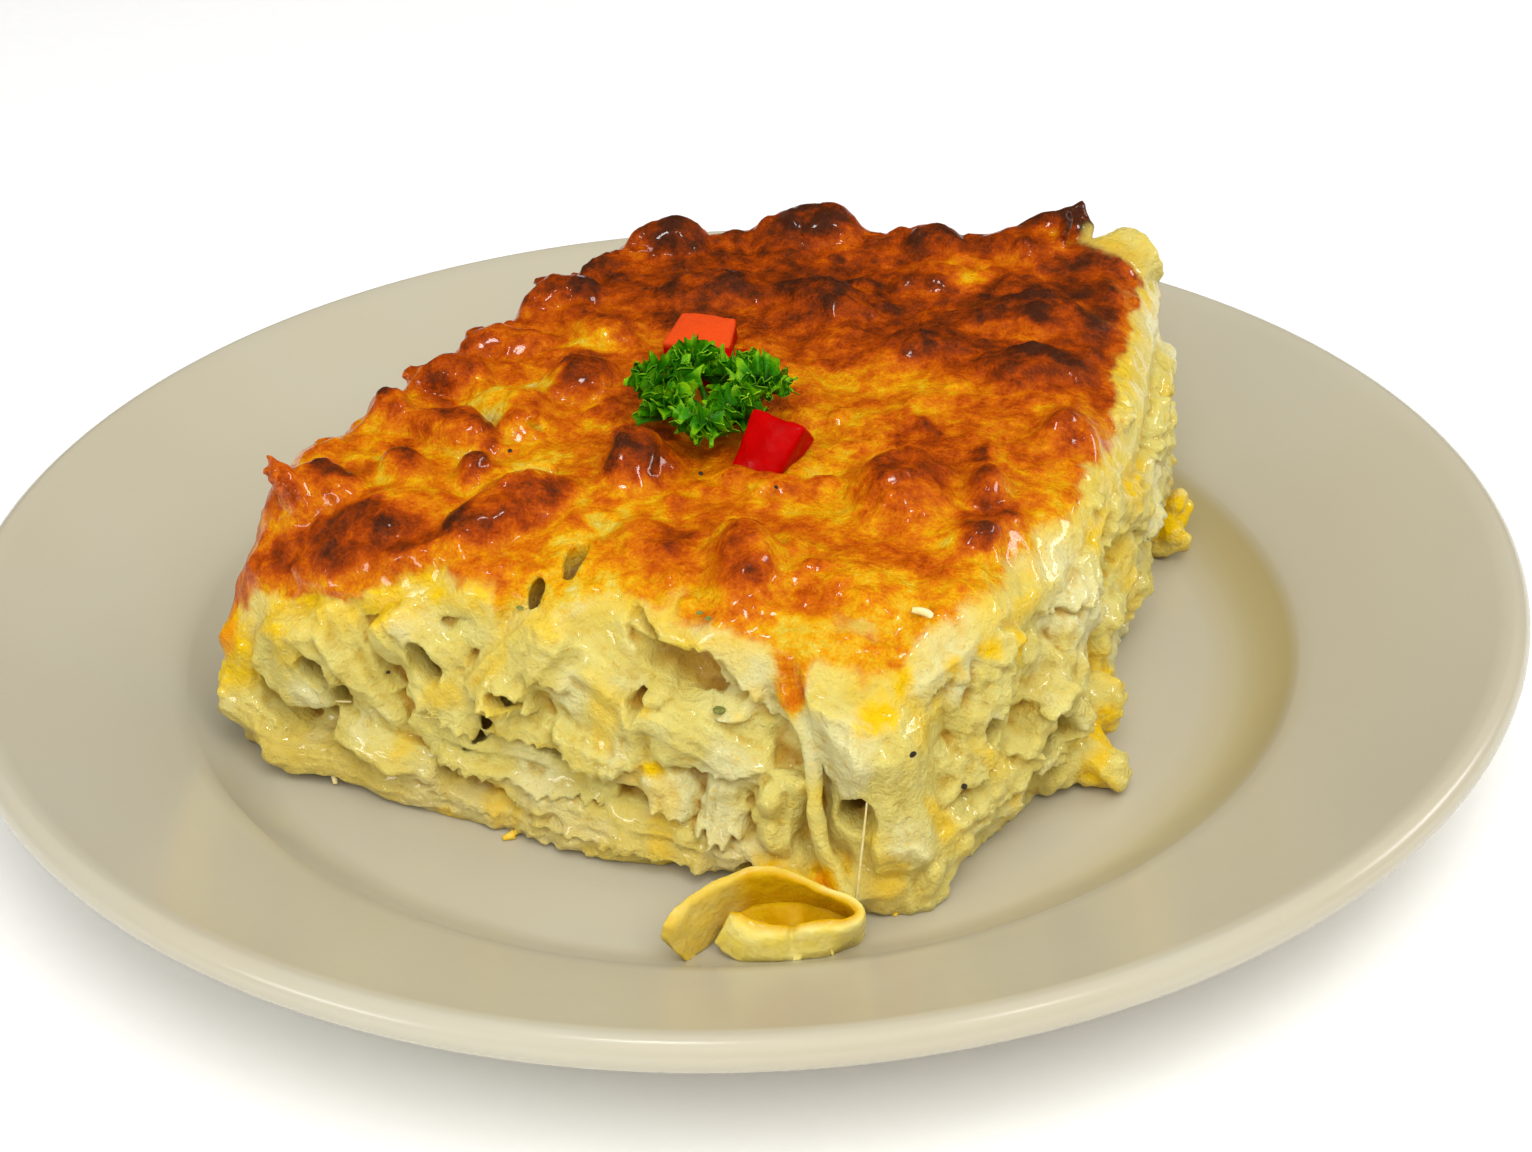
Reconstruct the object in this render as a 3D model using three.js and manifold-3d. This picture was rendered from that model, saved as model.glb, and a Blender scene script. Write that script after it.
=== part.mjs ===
// A cut square of macaroni gratin on a round wide-rimmed plate, with a parsley sprig and diced red pepper.
// Millimetres, +Z up. The origin is the middle of the plate's foot, on the table.
import * as THREE from 'three';
import { mergeVertices } from 'three/addons/utils/BufferGeometryUtils.js';
import Module from 'manifold-3d';

const wasm = await Module();
wasm.setup();

// Clearance between pieces that rest on each other
const GAP = 0.3;

// Plate
const PLATE_RADIUS = 114.3;
const PLATE_SEGMENTS = 56;
const ROLL_RADIUS = 2.5;
const ROLL_HEIGHT = 22;
const CREASE_RADIUS = 83.4;
const CREASE_HEIGHT = 10.6;
const FLOOR_RADIUS = 74.5;
const FLOOR_HEIGHT = 6;
const WELL_SWEEP = 1.8;
const PLATE_WALL = 4.4;
const FOOT_RADIUS = 64;
const FOOT_WIDTH = 3.5;
const FOOT_DEPTH = 1.8;

// Slab frame: x runs along the front cut, y into the depth, z up from the plate's floor
const SLAB_CORNER = [-71.7, -25.8];
const SLAB_TURN = -24.06;
const SLAB_WIDTH = 98;
const SLAB_HEIGHT = 38;
const SLAB_RISE = 3;
const SLAB_MIDDLE = [54, 60];
const SLAB_COLUMNS = 25;
const SLAB_ROWS = 31;
const FRONT_HEIGHT = 36;
const FRONT_SLOPE = 20;
const LEFT_DROP = 16;
const LEFT_REACH = 13;
const RIGHT_DROP = 6;
const RIGHT_REACH = 9;
const CRUST_ROUNDING = 4.5;
const CRUST_ROUGHNESS = 0.4;
const SIDE_ROUGHNESS = 0.005;
const TRIM_DEPTH = 1;

// Corners and bends of the slab's four sides, from the front left corner along the front and the left side
const FRONT_EDGE = [[-2.6, 0.6], [30, -0.6], [62, -0.4], [88, -0.6], [98, 0.8]];
const RIGHT_EDGE = [
  [98, 0.8], [104.2, 9], [108.6, 22], [110.8, 36], [110.6, 58], [108, 82], [103.4, 106], [99.4, 121],
];
const BACK_EDGE = [[14.5, 98], [28, 106], [44, 115], [64, 117], [82, 120.5], [99.4, 121]];
const LEFT_EDGE = [[-2.6, 0.6], [-0.6, 18], [4, 40], [8.2, 62], [10.5, 80], [14.5, 98]];

// Rings of the cut sides under the crust: share of the crust's height, and share that each steps in
const SIDE_RINGS = [[0.62, 0.008], [0.2, 0.006], [0, 0.02]];

// Macaroni
const TUBE_WIDTH = 10;
const TUBE_WALL = 1.9;
const TUBE_SIDES = 7;
const BORE_SIDES = 5;
const BORE_DEPTH = 7;
const LONG_TUBE = 18;
const TUBE_BOW = 0.7;

const MATERIALS = {
  plate: new THREE.MeshStandardMaterial({ color: 0xd6d0bb, roughness: 0.16, metalness: 0 }),
  gratin: new THREE.MeshStandardMaterial({ color: 0xd9a441, roughness: 0.45, metalness: 0 }),
  pasta: new THREE.MeshStandardMaterial({ color: 0xe2c35a, roughness: 0.35, metalness: 0 }),
  pepper: new THREE.MeshStandardMaterial({ color: 0xd8120f, roughness: 0.22, metalness: 0 }),
  parsley: new THREE.MeshStandardMaterial({ color: 0x2f8a24, roughness: 0.45, metalness: 0 }),
};

const radians = THREE.MathUtils.degToRad;

// Seeded numbers between -1 and 1
function seeded(seed) {
  let state = seed >>> 0;
  return () => {
    state = (Math.imul(state, 1664525) + 1013904223) >>> 0;
    return (state / 4294967296) * 2 - 1;
  };
}

function smooth(from, to, value) {
  const t = THREE.MathUtils.clamp((value - from) / (to - from), 0, 1);
  return t * t * (3 - 2 * t);
}

function toSolid(geometry) {
  const bare = geometry.clone();
  bare.deleteAttribute('normal');
  bare.deleteAttribute('uv');
  const merged = mergeVertices(bare, 1e-4);
  return new wasm.Manifold(new wasm.Mesh({
    numProp: 3,
    vertProperties: new Float32Array(merged.attributes.position.array),
    triVerts: new Uint32Array(merged.index.array),
  }));
}

function toGeometry(solid) {
  const mesh = solid.getMesh();
  const geometry = new THREE.BufferGeometry();
  geometry.setAttribute('position', new THREE.BufferAttribute(new Float32Array(mesh.vertProperties), 3));
  geometry.setIndex(new THREE.BufferAttribute(new Uint32Array(mesh.triVerts), 1));
  geometry.computeVertexNormals();
  return geometry;
}

function fromPoints(points, faces) {
  const geometry = new THREE.BufferGeometry();
  geometry.setAttribute('position', new THREE.Float32BufferAttribute(points.flat(), 3));
  geometry.setIndex(faces);
  return geometry;
}

function joined(solids) {
  return solids.reduce((sum, solid) => sum.add(solid));
}

// The largest closed body of a solid, without the crumbs that a cut leaves
function mainBody(solid) {
  return solid.decompose().sort((one, other) => other.volume() - one.volume())[0];
}

// Height of the plate's upper face at a distance from its middle
function plateTop(radius) {
  if (radius <= FLOOR_RADIUS) return FLOOR_HEIGHT;
  if (radius <= CREASE_RADIUS) {
    const t = (radius - FLOOR_RADIUS) / (CREASE_RADIUS - FLOOR_RADIUS);
    return FLOOR_HEIGHT + (CREASE_HEIGHT - FLOOR_HEIGHT) * t ** WELL_SWEEP;
  }
  const rollMiddle = PLATE_RADIUS - ROLL_RADIUS;
  const t = (radius - CREASE_RADIUS) / (rollMiddle - CREASE_RADIUS);
  const rise = ROLL_HEIGHT + ROLL_RADIUS - CREASE_HEIGHT;
  return CREASE_HEIGHT + rise * (0.9 * t + 0.1 * t * t);
}

// Plate: well, sloping rim and rolled edge above, and a foot ring below, turned about the middle
function plateGeometry() {
  const profile = [[0, FLOOR_HEIGHT]];
  const wallSteps = 4;
  for (let step = 0; step <= wallSteps; step += 1) {
    const radius = FLOOR_RADIUS + (CREASE_RADIUS - FLOOR_RADIUS) * (step / wallSteps);
    profile.push([radius, plateTop(radius)]);
  }
  const rollMiddle = PLATE_RADIUS - ROLL_RADIUS;
  const rimMiddle = (CREASE_RADIUS + rollMiddle) / 2;
  profile.push([rimMiddle, plateTop(rimMiddle)]);
  const rollSteps = 6;
  for (let step = 0; step <= rollSteps; step += 1) {
    const angle = Math.PI / 2 - (Math.PI * 1.1 * step) / rollSteps;
    profile.push([rollMiddle + ROLL_RADIUS * Math.cos(angle), ROLL_HEIGHT + ROLL_RADIUS * Math.sin(angle)]);
  }
  profile.push([rimMiddle, plateTop(rimMiddle) - PLATE_WALL]);
  profile.push([CREASE_RADIUS, CREASE_HEIGHT - PLATE_WALL]);
  profile.push([FOOT_RADIUS + FOOT_DEPTH, FOOT_DEPTH]);
  profile.push([FOOT_RADIUS, 0]);
  profile.push([FOOT_RADIUS - FOOT_WIDTH, 0]);
  profile.push([FOOT_RADIUS - FOOT_WIDTH - FOOT_DEPTH, FOOT_DEPTH]);
  profile.push([0, FOOT_DEPTH]);
  const points = profile.map(([radius, height]) => new THREE.Vector2(radius, height)).reverse();
  const geometry = new THREE.LatheGeometry(points, PLATE_SEGMENTS);
  geometry.rotateX(Math.PI / 2);
  return geometry;
}

const slabToPlate = new THREE.Matrix4().makeRotationZ(radians(SLAB_TURN))
  .setPosition(...SLAB_CORNER, FLOOR_HEIGHT);

// Distance of a point of the slab frame from the plate's middle
function plateRadiusAt(x, y) {
  const point = new THREE.Vector3(x, y, 0).applyMatrix4(slabToPlate);
  return Math.hypot(point.x, point.y);
}

// Height of the crust without its bumps: it slopes down to the front cut and most to the front left corner
function crustHeight(x, y) {
  const plateau = SLAB_HEIGHT + SLAB_RISE * smooth(20, 110, y);
  const front = FRONT_HEIGHT - LEFT_DROP * Math.exp(-Math.max(x, 0) / LEFT_REACH)
    - RIGHT_DROP * Math.exp(-Math.max(SLAB_WIDTH - x, 0) / RIGHT_REACH);
  const forward = Math.max(0, 1 - y / FRONT_SLOPE) ** 1.5;
  return plateau - (plateau - front) * Math.min(forward, 1.1);
}

// Bumps of pasta under the crust: middle x and y, half length, half width, turn in degrees, rise
const BUMPS = [
  [50, 32, 6.5, 5.2, 80, 6.5], [37.5, 15, 12, 5, 62, 4.5], [74, 13, 8, 5, 108, 5.5],
  [86.5, 37, 9, 6.5, 105, 6.5], [96.5, 41, 5, 3.4, 110, 4], [70, 34, 11, 3.2, 8, 2.6],
  [93, 76, 9, 6, 20, 5], [88, 91, 12, 5.5, 12, 4.5], [23.5, 98, 6.5, 5.5, 40, 4.8],
  [44, 109, 8, 6, 15, 5.5], [64, 111, 7, 5.5, 0, 3.8], [79, 114, 8, 5, -12, 4],
  [36, 84, 8, 6, 30, 3.4], [55, 86, 9, 5.5, -20, 3.6], [70, 98, 8, 5, 10, 3],
  [74, 76, 9, 5, 30, 2.8], [30.5, 51, 7, 5.5, 75, 5], [20, 32, 10, 3.4, -10, 4.5],
  [28.2, 25, 5, 3, -70, 5], [18.5, 20.5, 4.5, 3, -50, 4.2], [9.5, 13, 8, 4.2, 5, 4.6],
  [24, 41, 10, 5, -35, 3.6], [14, 58, 8, 4.4, 30, 4.2], [16, 74, 8, 4.6, 40, 4.6],
  [25, 68, 9, 4.4, -30, 3.2], [12, 46, 6, 4, 15, 4], [9, 33.5, 6, 3.6, -20, 4],
  [22, 11, 12, 5, 14, 3], [58, 60, 8, 6, 15, 2.6], [103, 60, 7, 5, 80, 3],
  [101, 30, 8, 5, 50, 2.6], [60, 14, 9, 4.6, 150, 2.8], [90, 14, 8, 5, -30, 2.4],
];

// Flakes of crust that stand out past the edges: foot x, y and height, turn and lift in degrees, length
// and width
const FLAKES = [
  [5.5, 12.5, 38.6, 190, 22, 5, 8], [8, 35, 39, 170, 16, 3.4, 7], [12, 57, 40, 160, 24, 3.6, 7],
  [13.5, 76, 40.5, 150, 26, 3.6, 7], [8, 46, 39, 190, 12, 3.4, 7], [5, 24, 36.5, 200, 16, 3.6, 7],
  [82, 116, 41.5, 22, 46, 7.5, 9], [108, 50, 36, 5, -10, 3.4, 7], [106, 72, 38, 20, 5, 3.4, 7],
];
const FLAKE_THICKNESS = 1.3;
const FLAKE_TAPER = 0.35;
const FLAKE_ROOT = 0.6;

// Pasta that shows on the front cut: x, height, depth of its middle, length, height and depth of its section,
// lean in degrees from the front edge, turn into the slab in degrees, and 1 for an open end
const FRONT_PASTA = [
  [15, 19.5, 3.2, 12, 14, 15, 0, 84, 1], [25, 17.5, 1.4, 25, 8.5, 6.5, -62, 0, 0],
  [28.5, 8.6, 0.2, 17, 6.2, 7, -8, -4, 1], [39.5, 22, 1.8, 24, 8, 7, -44, 5, 0],
  [51, 27, 1, 17, 9.5, 9, 52, 6, 1], [60.5, 23, 1.6, 19, 11, 8, -38, 0, 0],
  [61.5, 16.2, 0.3, 16, 6.4, 7, -5, 0, 1], [48.5, 12.6, 0.8, 31, 5.6, 8, -7, 0, 0],
  [54.5, 8.2, 0.9, 28, 4.6, 9, -6, 0, 0], [46.5, 17.2, 2, 27, 5.4, 8, -12, 0, 0],
  [27, 3, 0.2, 36, 5.6, 8, -2, 0, 0], [60, 2.8, 0.4, 30, 5.4, 9, 0, 0, 0],
  [75.5, 6.4, 0.8, 26, 6, 9, -6, 0, 0], [78, 2, 2.6, 17, 4, 8, 0, 0, 0],
  [78, 26, 4.2, 14, 8, 8, -35, 10, 1], [75.5, 20.2, 1.2, 18, 7.6, 8, -18, 4, 0],
  [71.5, 14, 0.2, 11, 6.6, 6, -60, 0, 0], [79, 11.5, 0.2, 9, 6, 6, 86, 0, 1],
  [87, 12, 0.8, 13, 7, 7, 80, 0, 0], [8, 5.5, 1.2, 15, 6.5, 8, -24, 0, 0],
  [3, 14, 2.6, 11, 6.5, 7, 78, 0, 0], [98.5, 20, 0.6, 28, 12, 11, -72, 0, 0],
  [95, 4.4, 1, 13, 7.4, 8, -6, 0, 1], [88.5, 4, 1.2, 9, 7, 8, 60, 0, 0],
];

// The same for the right cut, with the distance along it from the front corner
const RIGHT_PASTA = [
  [14, 9, 1.4, 20, 9, 8, 12, 0, 0], [17, 24, 1.6, 20, 8.5, 8, 70, 0, 0],
  [30, 14, 2.4, 12, 10, 10, 0, 82, 1], [40, 25, 1.4, 22, 9, 8, 52, 0, 0],
  [45, 8, 1.4, 20, 8, 8, -8, 0, 0], [60, 17, 1.4, 22, 9, 8, 8, 0, 0],
  [66, 28, 1.6, 18, 9, 8, -26, 0, 1], [80, 10, 1.6, 22, 8, 8, 5, 0, 0],
  [86, 24, 1.4, 20, 9, 8, 30, 0, 0], [102, 13, 1.6, 20, 9, 8, -6, 0, 1],
  [104, 28, 2, 18, 9, 8, 12, 0, 0], [50, 33, 1.8, 16, 8, 8, 14, 0, 0],
];

// Pasta on the left and back cuts: heights of its rows, and the distance from one piece to the next
const LOOSE_LEVELS = [5.5, 15, 24.5, 32.5];
const LOOSE_SPACING = 25;
const LOOSE_START = 13;

// Lumps of pasta and cheese beside the slab's foot: x, y, height, half length, half width, half height, turn
const LUMPS = [
  [111.5, 34.5, 4.2, 7.5, 4.4, 4.6, 60], [115.5, 36.5, 3.4, 6, 3.6, 3.7, -30],
  [113.5, 43, 7.5, 5.5, 4, 5.2, 40], [88.5, -3, 2.8, 7.5, 2.8, 2.6, 8],
  [35.6, -0.6, 1.2, 4, 2.2, 1.6, 0], [96.5, 1.2, 3, 6, 4.6, 3.4, -30],
];

// Hollows between the pieces: x, y, height, half sizes along x, y and z
const HOLLOWS = [
  [72.5, 0.6, 29.5, 6.5, 4.6, 4], [93, -0.6, 14.5, 2.8, 3.6, 3.4], [48.6, 8.5, 36, 2.2, 3.6, 5],
  [80.8, 0, 1.6, 3, 4, 2.4], [37.5, 24.6, 41, 3.2, 2, 3.6], [10.2, 3.4, 29.4, 1.6, 4, 3],
];

// Thick string of melted cheese that hangs down the front corner: x, y, height
const STRING = [[84.6, 0.6, 29], [86.4, -2, 22], [88.4, -3.2, 14], [90.6, -3.6, 7], [93.6, -3.4, 2]];
const STRING_RADIUS = 1.15;
const STRING_STEPS = 7;

// Bare end of a tube that stands up at the back right corner
const CORNER_TUBE = { place: [91.6, 115.5, 38.8], turn: 60, lift: 14, long: 17, high: 9.5, wide: 11 };

// Height of the crust with its bumps
function crustTop(x, y) {
  const bare = crustHeight(x, y);
  return BUMPS.reduce((top, [middleX, middleY, long, wide, turn, rise]) => {
    const angle = radians(turn);
    const along = ((x - middleX) * Math.cos(angle) + (y - middleY) * Math.sin(angle)) / long;
    const across = ((y - middleY) * Math.cos(angle) - (x - middleX) * Math.sin(angle)) / wide;
    const dome = Math.max(0, 1 - along * along - across * across) ** 0.65;
    return Math.max(top, bare + rise * dome);
  }, bare);
}

function edgeCurve(corners) {
  const points = corners.map(([x, y]) => new THREE.Vector3(x, y, 0));
  return new THREE.CatmullRomCurve3(points, false, 'centripetal');
}

// Points of the slab in plan: a grid that its four sides bound
function planGrid(columns, rows) {
  const front = edgeCurve(FRONT_EDGE).getSpacedPoints(columns);
  const back = edgeCurve(BACK_EDGE).getSpacedPoints(columns);
  const left = edgeCurve(LEFT_EDGE).getSpacedPoints(rows);
  const right = edgeCurve(RIGHT_EDGE).getSpacedPoints(rows);
  return (column, row) => {
    const u = column / columns;
    const v = row / rows;
    const corners = (axis) => (1 - u) * (1 - v) * front[0][axis] + u * (1 - v) * front[columns][axis]
      + (1 - u) * v * back[0][axis] + u * v * back[columns][axis];
    return ['x', 'y'].map((axis) => (1 - v) * front[column][axis] + v * back[column][axis]
      + (1 - u) * left[row][axis] + u * right[row][axis] - corners(axis));
  };
}

// Grid places round the edge of a grid, from the front left corner
function gridEdge(columns, rows) {
  const range = (count) => Array.from({ length: count }, (_, index) => index);
  return [
    ...range(columns).map((index) => [index, 0]),
    ...range(rows).map((index) => [columns, index]),
    ...range(columns).map((index) => [columns - index, rows]),
    ...range(rows).map((index) => [0, rows - index]),
  ];
}

// The bare slab: its underside runs below the plate's face, which trims it later
function slabCore() {
  const columns = SLAB_COLUMNS;
  const rows = SLAB_ROWS;
  const plan = planGrid(columns, rows);
  const draw = seeded(7);
  const points = [];
  const topIndex = (column, row) => row * (columns + 1) + column;
  const edgeDrop = (column, row) => {
    const cell = SLAB_WIDTH / columns;
    const inward = Math.min(column, row, columns - column, rows - row) * cell;
    return CRUST_ROUNDING * Math.max(0, 1 - inward / CRUST_ROUNDING) ** 2;
  };
  for (let row = 0; row <= rows; row += 1) {
    for (let column = 0; column <= columns; column += 1) {
      const [x, y] = plan(column, row);
      points.push([x, y, crustTop(x, y) - edgeDrop(column, row) + CRUST_ROUGHNESS * draw()]);
    }
  }
  const faces = [];
  for (let row = 0; row < rows; row += 1) {
    for (let column = 0; column < columns; column += 1) {
      const [a, b] = [topIndex(column, row), topIndex(column + 1, row)];
      const [c, d] = [topIndex(column + 1, row + 1), topIndex(column, row + 1)];
      if ((column + row) % 2) faces.push(a, b, c, a, c, d);
      else faces.push(a, b, d, b, c, d);
    }
  }
  const edge = gridEdge(columns, rows);
  let above = edge.map(([column, row]) => topIndex(column, row));
  for (const [rise, inset] of SIDE_RINGS) {
    const ring = edge.map(([column, row], index) => {
      const [x, y, top] = points[above[index]];
      const [outX, outY] = plan(column, row);
      const share = 1 - inset + SIDE_ROUGHNESS * draw();
      const sideX = SLAB_MIDDLE[0] + (outX - SLAB_MIDDLE[0]) * share;
      const sideY = SLAB_MIDDLE[1] + (outY - SLAB_MIDDLE[1]) * share;
      const foot = plateTop(plateRadiusAt(x, y)) - FLOOR_HEIGHT - TRIM_DEPTH;
      const crown = points[topIndex(column, row)][2];
      points.push([sideX, sideY, Math.min(top - 0.2, foot + (crown - foot) * rise)]);
      return points.length - 1;
    });
    ring.forEach((low, index) => {
      const next = (index + 1) % ring.length;
      faces.push(above[index], low, ring[next], above[index], ring[next], above[next]);
    });
    above = ring;
  }
  points.push([...SLAB_MIDDLE, -TRIM_DEPTH]);
  above.forEach((low, index) => faces.push(low, points.length - 1, above[(index + 1) % above.length]));
  return toSolid(fromPoints(points, faces));
}

// A flattened length of macaroni along X that bows a little, and the bore at its open end
function macaroni(length, high, deep, bow) {
  const spans = length > LONG_TUBE ? 2 : 1;
  const shape = new THREE.CylinderGeometry(0.5, 0.5, length, TUBE_SIDES, spans);
  shape.rotateZ(Math.PI / 2);
  const position = shape.attributes.position;
  for (let index = 0; index < position.count; index += 1) {
    const along = (2 * position.getX(index)) / length;
    const lift = bow * (1 - along * along);
    position.setY(index, position.getY(index) * deep + lift);
    position.setZ(index, position.getZ(index) * high + lift);
  }
  return shape;
}

function bore(length, high, deep) {
  const shape = new THREE.CylinderGeometry(0.5, 0.5, BORE_DEPTH, BORE_SIDES, 1);
  const overshoot = 1;
  shape.rotateZ(Math.PI / 2);
  shape.scale(1, deep - 2 * TUBE_WALL, high - 2 * TUBE_WALL);
  shape.translate((BORE_DEPTH - length) / 2 - overshoot, 0, 0);
  return shape;
}

// Places a row of pasta on a cut side: distances run along its edge, and depths to the left of that way
function pastaOnFace(rows, edge, seed) {
  const draw = seeded(seed);
  const curve = edgeCurve(edge);
  const total = curve.getLength();
  const tubes = [];
  const bores = [];
  for (const [along, height, depth, length, high, deep, lean, turn, open] of rows) {
    const share = THREE.MathUtils.clamp(along / total, 0, 1);
    const point = curve.getPointAt(share);
    const way = curve.getTangentAt(share);
    const place = new THREE.Matrix4().makeRotationZ(Math.atan2(way.y, way.x)).setPosition(point)
      .multiply(new THREE.Matrix4().makeTranslation(0, depth, height))
      .multiply(new THREE.Matrix4().makeRotationY(radians(-lean)))
      .multiply(new THREE.Matrix4().makeRotationZ(radians(turn)));
    tubes.push(toSolid(macaroni(length, high, deep, TUBE_BOW * draw()).applyMatrix4(place)));
    if (open) bores.push(toSolid(bore(length, high, deep).applyMatrix4(place)));
  }
  return { tubes, bores };
}

// Rows of pasta for a cut that is hidden from the front, at uneven places and leans, with some ends showing
function looseRows(length, seed, clear) {
  const draw = seeded(seed);
  const rows = [];
  for (const level of LOOSE_LEVELS) {
    const start = LOOSE_START + 5 * draw();
    for (let along = start; along < length - clear; along += LOOSE_SPACING) {
      const open = draw() > 0.55;
      const [shift, lift, sink] = [2 * draw(), 1.5 * draw(), 0.6 * draw()];
      const [grow, lean] = [draw(), draw()];
      const high = TUBE_WIDTH - 1.4 + grow;
      const deep = TUBE_WIDTH - 2;
      const place = [along + shift, level + lift];
      if (open) rows.push([...place, 3, 12, high, deep, 0, 78, 1]);
      else rows.push([...place, 1.8 + sink, 20 + 4 * grow, high, deep, 26 * lean, 5 * lean, 0]);
    }
  }
  return rows;
}

function ellipsoid(sides, rings, place, sizes, turn) {
  const shape = new THREE.SphereGeometry(1, sides, rings);
  shape.rotateX(Math.PI / 2);
  shape.scale(...sizes);
  shape.rotateZ(radians(turn));
  shape.translate(...place);
  return toSolid(shape);
}

// A flake of crust: a flat tapering tongue whose root lies in the slab
function flake([x, y, height, turn, lift, length, width]) {
  const root = length * FLAKE_ROOT;
  const shape = new THREE.CylinderGeometry(FLAKE_TAPER, 1, length + root, 5, 1);
  shape.rotateZ(-Math.PI / 2);
  shape.scale(1, width / 2, FLAKE_THICKNESS);
  shape.translate((length - root) / 2, 0, 0);
  shape.rotateY(radians(-lift));
  shape.rotateZ(radians(turn));
  shape.translate(x, y, height);
  return toSolid(shape);
}

function cheeseString() {
  const curve = new THREE.CatmullRomCurve3(STRING.map((point) => new THREE.Vector3(...point)));
  const section = new THREE.Shape();
  section.absarc(0, 0, STRING_RADIUS, 0, 2 * Math.PI);
  const options = { steps: STRING_STEPS, curveSegments: 3, extrudePath: curve, bevelEnabled: false };
  return toSolid(new THREE.ExtrudeGeometry(section, options));
}

function cornerTube({ place, turn, lift, long, high, wide }) {
  const matrix = new THREE.Matrix4().makeRotationZ(radians(turn))
    .multiply(new THREE.Matrix4().makeRotationY(radians(-lift)))
    .setPosition(...place);
  return toSolid(macaroni(long, high, wide, TUBE_BOW).applyMatrix4(matrix));
}

function gratinSlab(plate) {
  const leftRows = looseRows(98, 32, 20);
  const backRows = looseRows(86, 31, 9);
  const faces = [
    pastaOnFace(FRONT_PASTA, FRONT_EDGE, 11),
    pastaOnFace(RIGHT_PASTA, RIGHT_EDGE, 12),
    pastaOnFace(backRows, [...BACK_EDGE].reverse(), 13),
    pastaOnFace(leftRows, [...LEFT_EDGE].reverse(), 14),
  ];
  const lumps = LUMPS.map(([x, y, height, long, wide, high, turn]) => (
    ellipsoid(7, 5, [x, y, height], [long, wide, high], turn)));
  const hollows = HOLLOWS.map(([x, y, height, ...sizes]) => ellipsoid(6, 4, [x, y, height], sizes, 0));
  const tubes = faces.flatMap((face) => face.tubes);
  const body = joined([slabCore(), ...tubes, ...FLAKES.map(flake), ...lumps, cornerTube(CORNER_TUBE)]);
  const open = joined([...faces.flatMap((face) => face.bores), ...hollows]);
  const inSlabFrame = new THREE.Matrix4().copy(slabToPlate).invert();
  const raisedPlate = plate.transform(inSlabFrame.toArray()).translate([0, 0, GAP]);
  return mainBody(body.subtract(open).add(cheeseString()).subtract(raisedPlate));
}

// Diced red pepper on the crust, in the slab frame: middle, length, width and height, tilts about X and Y and
// turn about Z in degrees, and how much wider its front is than its middle
const DICE = {
  red_pepper_back: { place: [43.6, 67.2, 41.4], size: [9.6, 7.6, 5], turns: [14, 0, 6], taper: 0.1 },
  red_pepper_middle: { place: [50.5, 60, 41.4], size: [8.5, 6, 4.5], turns: [0, 8, 40], taper: 0.1 },
  red_pepper_front: { place: [66.2, 39.2, 40.8], size: [7.6, 10.2, 5], turns: [44, 7, -8], taper: -0.14 },
};
const DICE_CROWN = 0.9;

// A diced piece of pepper: four cut sides, a flat cut back and a skin that crowns a little
function pepperDice({ place, size: [long, wide, high], turns, taper }) {
  const shape = new THREE.BoxGeometry(long, wide, high, 3, 3, 1);
  const position = shape.attributes.position;
  for (let index = 0; index < position.count; index += 1) {
    const across = (2 * position.getX(index)) / long;
    const deep = (2 * position.getY(index)) / wide;
    const upper = position.getZ(index) > 0 ? 1 : 0;
    const crown = DICE_CROWN * (1 - across * across) * (1 - deep * deep) * upper;
    position.setZ(index, position.getZ(index) + crown);
    position.setX(index, position.getX(index) * (1 - taper * deep));
  }
  const turned = new THREE.Euler(...turns.map(radians), 'ZYX');
  shape.applyMatrix4(new THREE.Matrix4().makeRotationFromEuler(turned));
  shape.translate(...place);
  return toSolid(shape);
}

// Parsley sprig in the slab frame. Leaflets: foot x, y and height above the root, bearing and lift in
// degrees, radius
const LEAFLETS = [
  [-6.6, -0.6, 3, 176, 12, 5], [-4.6, 5.2, 3.4, 128, 22, 5], [1.4, 6.6, 2.6, 76, 12, 5],
  [6.6, 3.6, 3.4, 26, 22, 4.8], [5.6, -3.6, 2.6, 330, 10, 4.8], [3.4, -9.2, 2.8, 290, 4, 4.8],
  [-4, -5.4, 2.6, 226, 12, 4.6],
];
const SPRIG_ROOT = [53.4, 47.6, 40.6];
const STALK_RADIUS = 0.7;
const LEAF_THICKNESS = 0.5;
const LEAF_SPREAD = 1.9;
const LEAF_STEPS = 8;
const LEAF_NOTCH = 0.68;
const LEAF_WAVE = 0.22;
const LEAF_CUP = 0.2;

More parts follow.
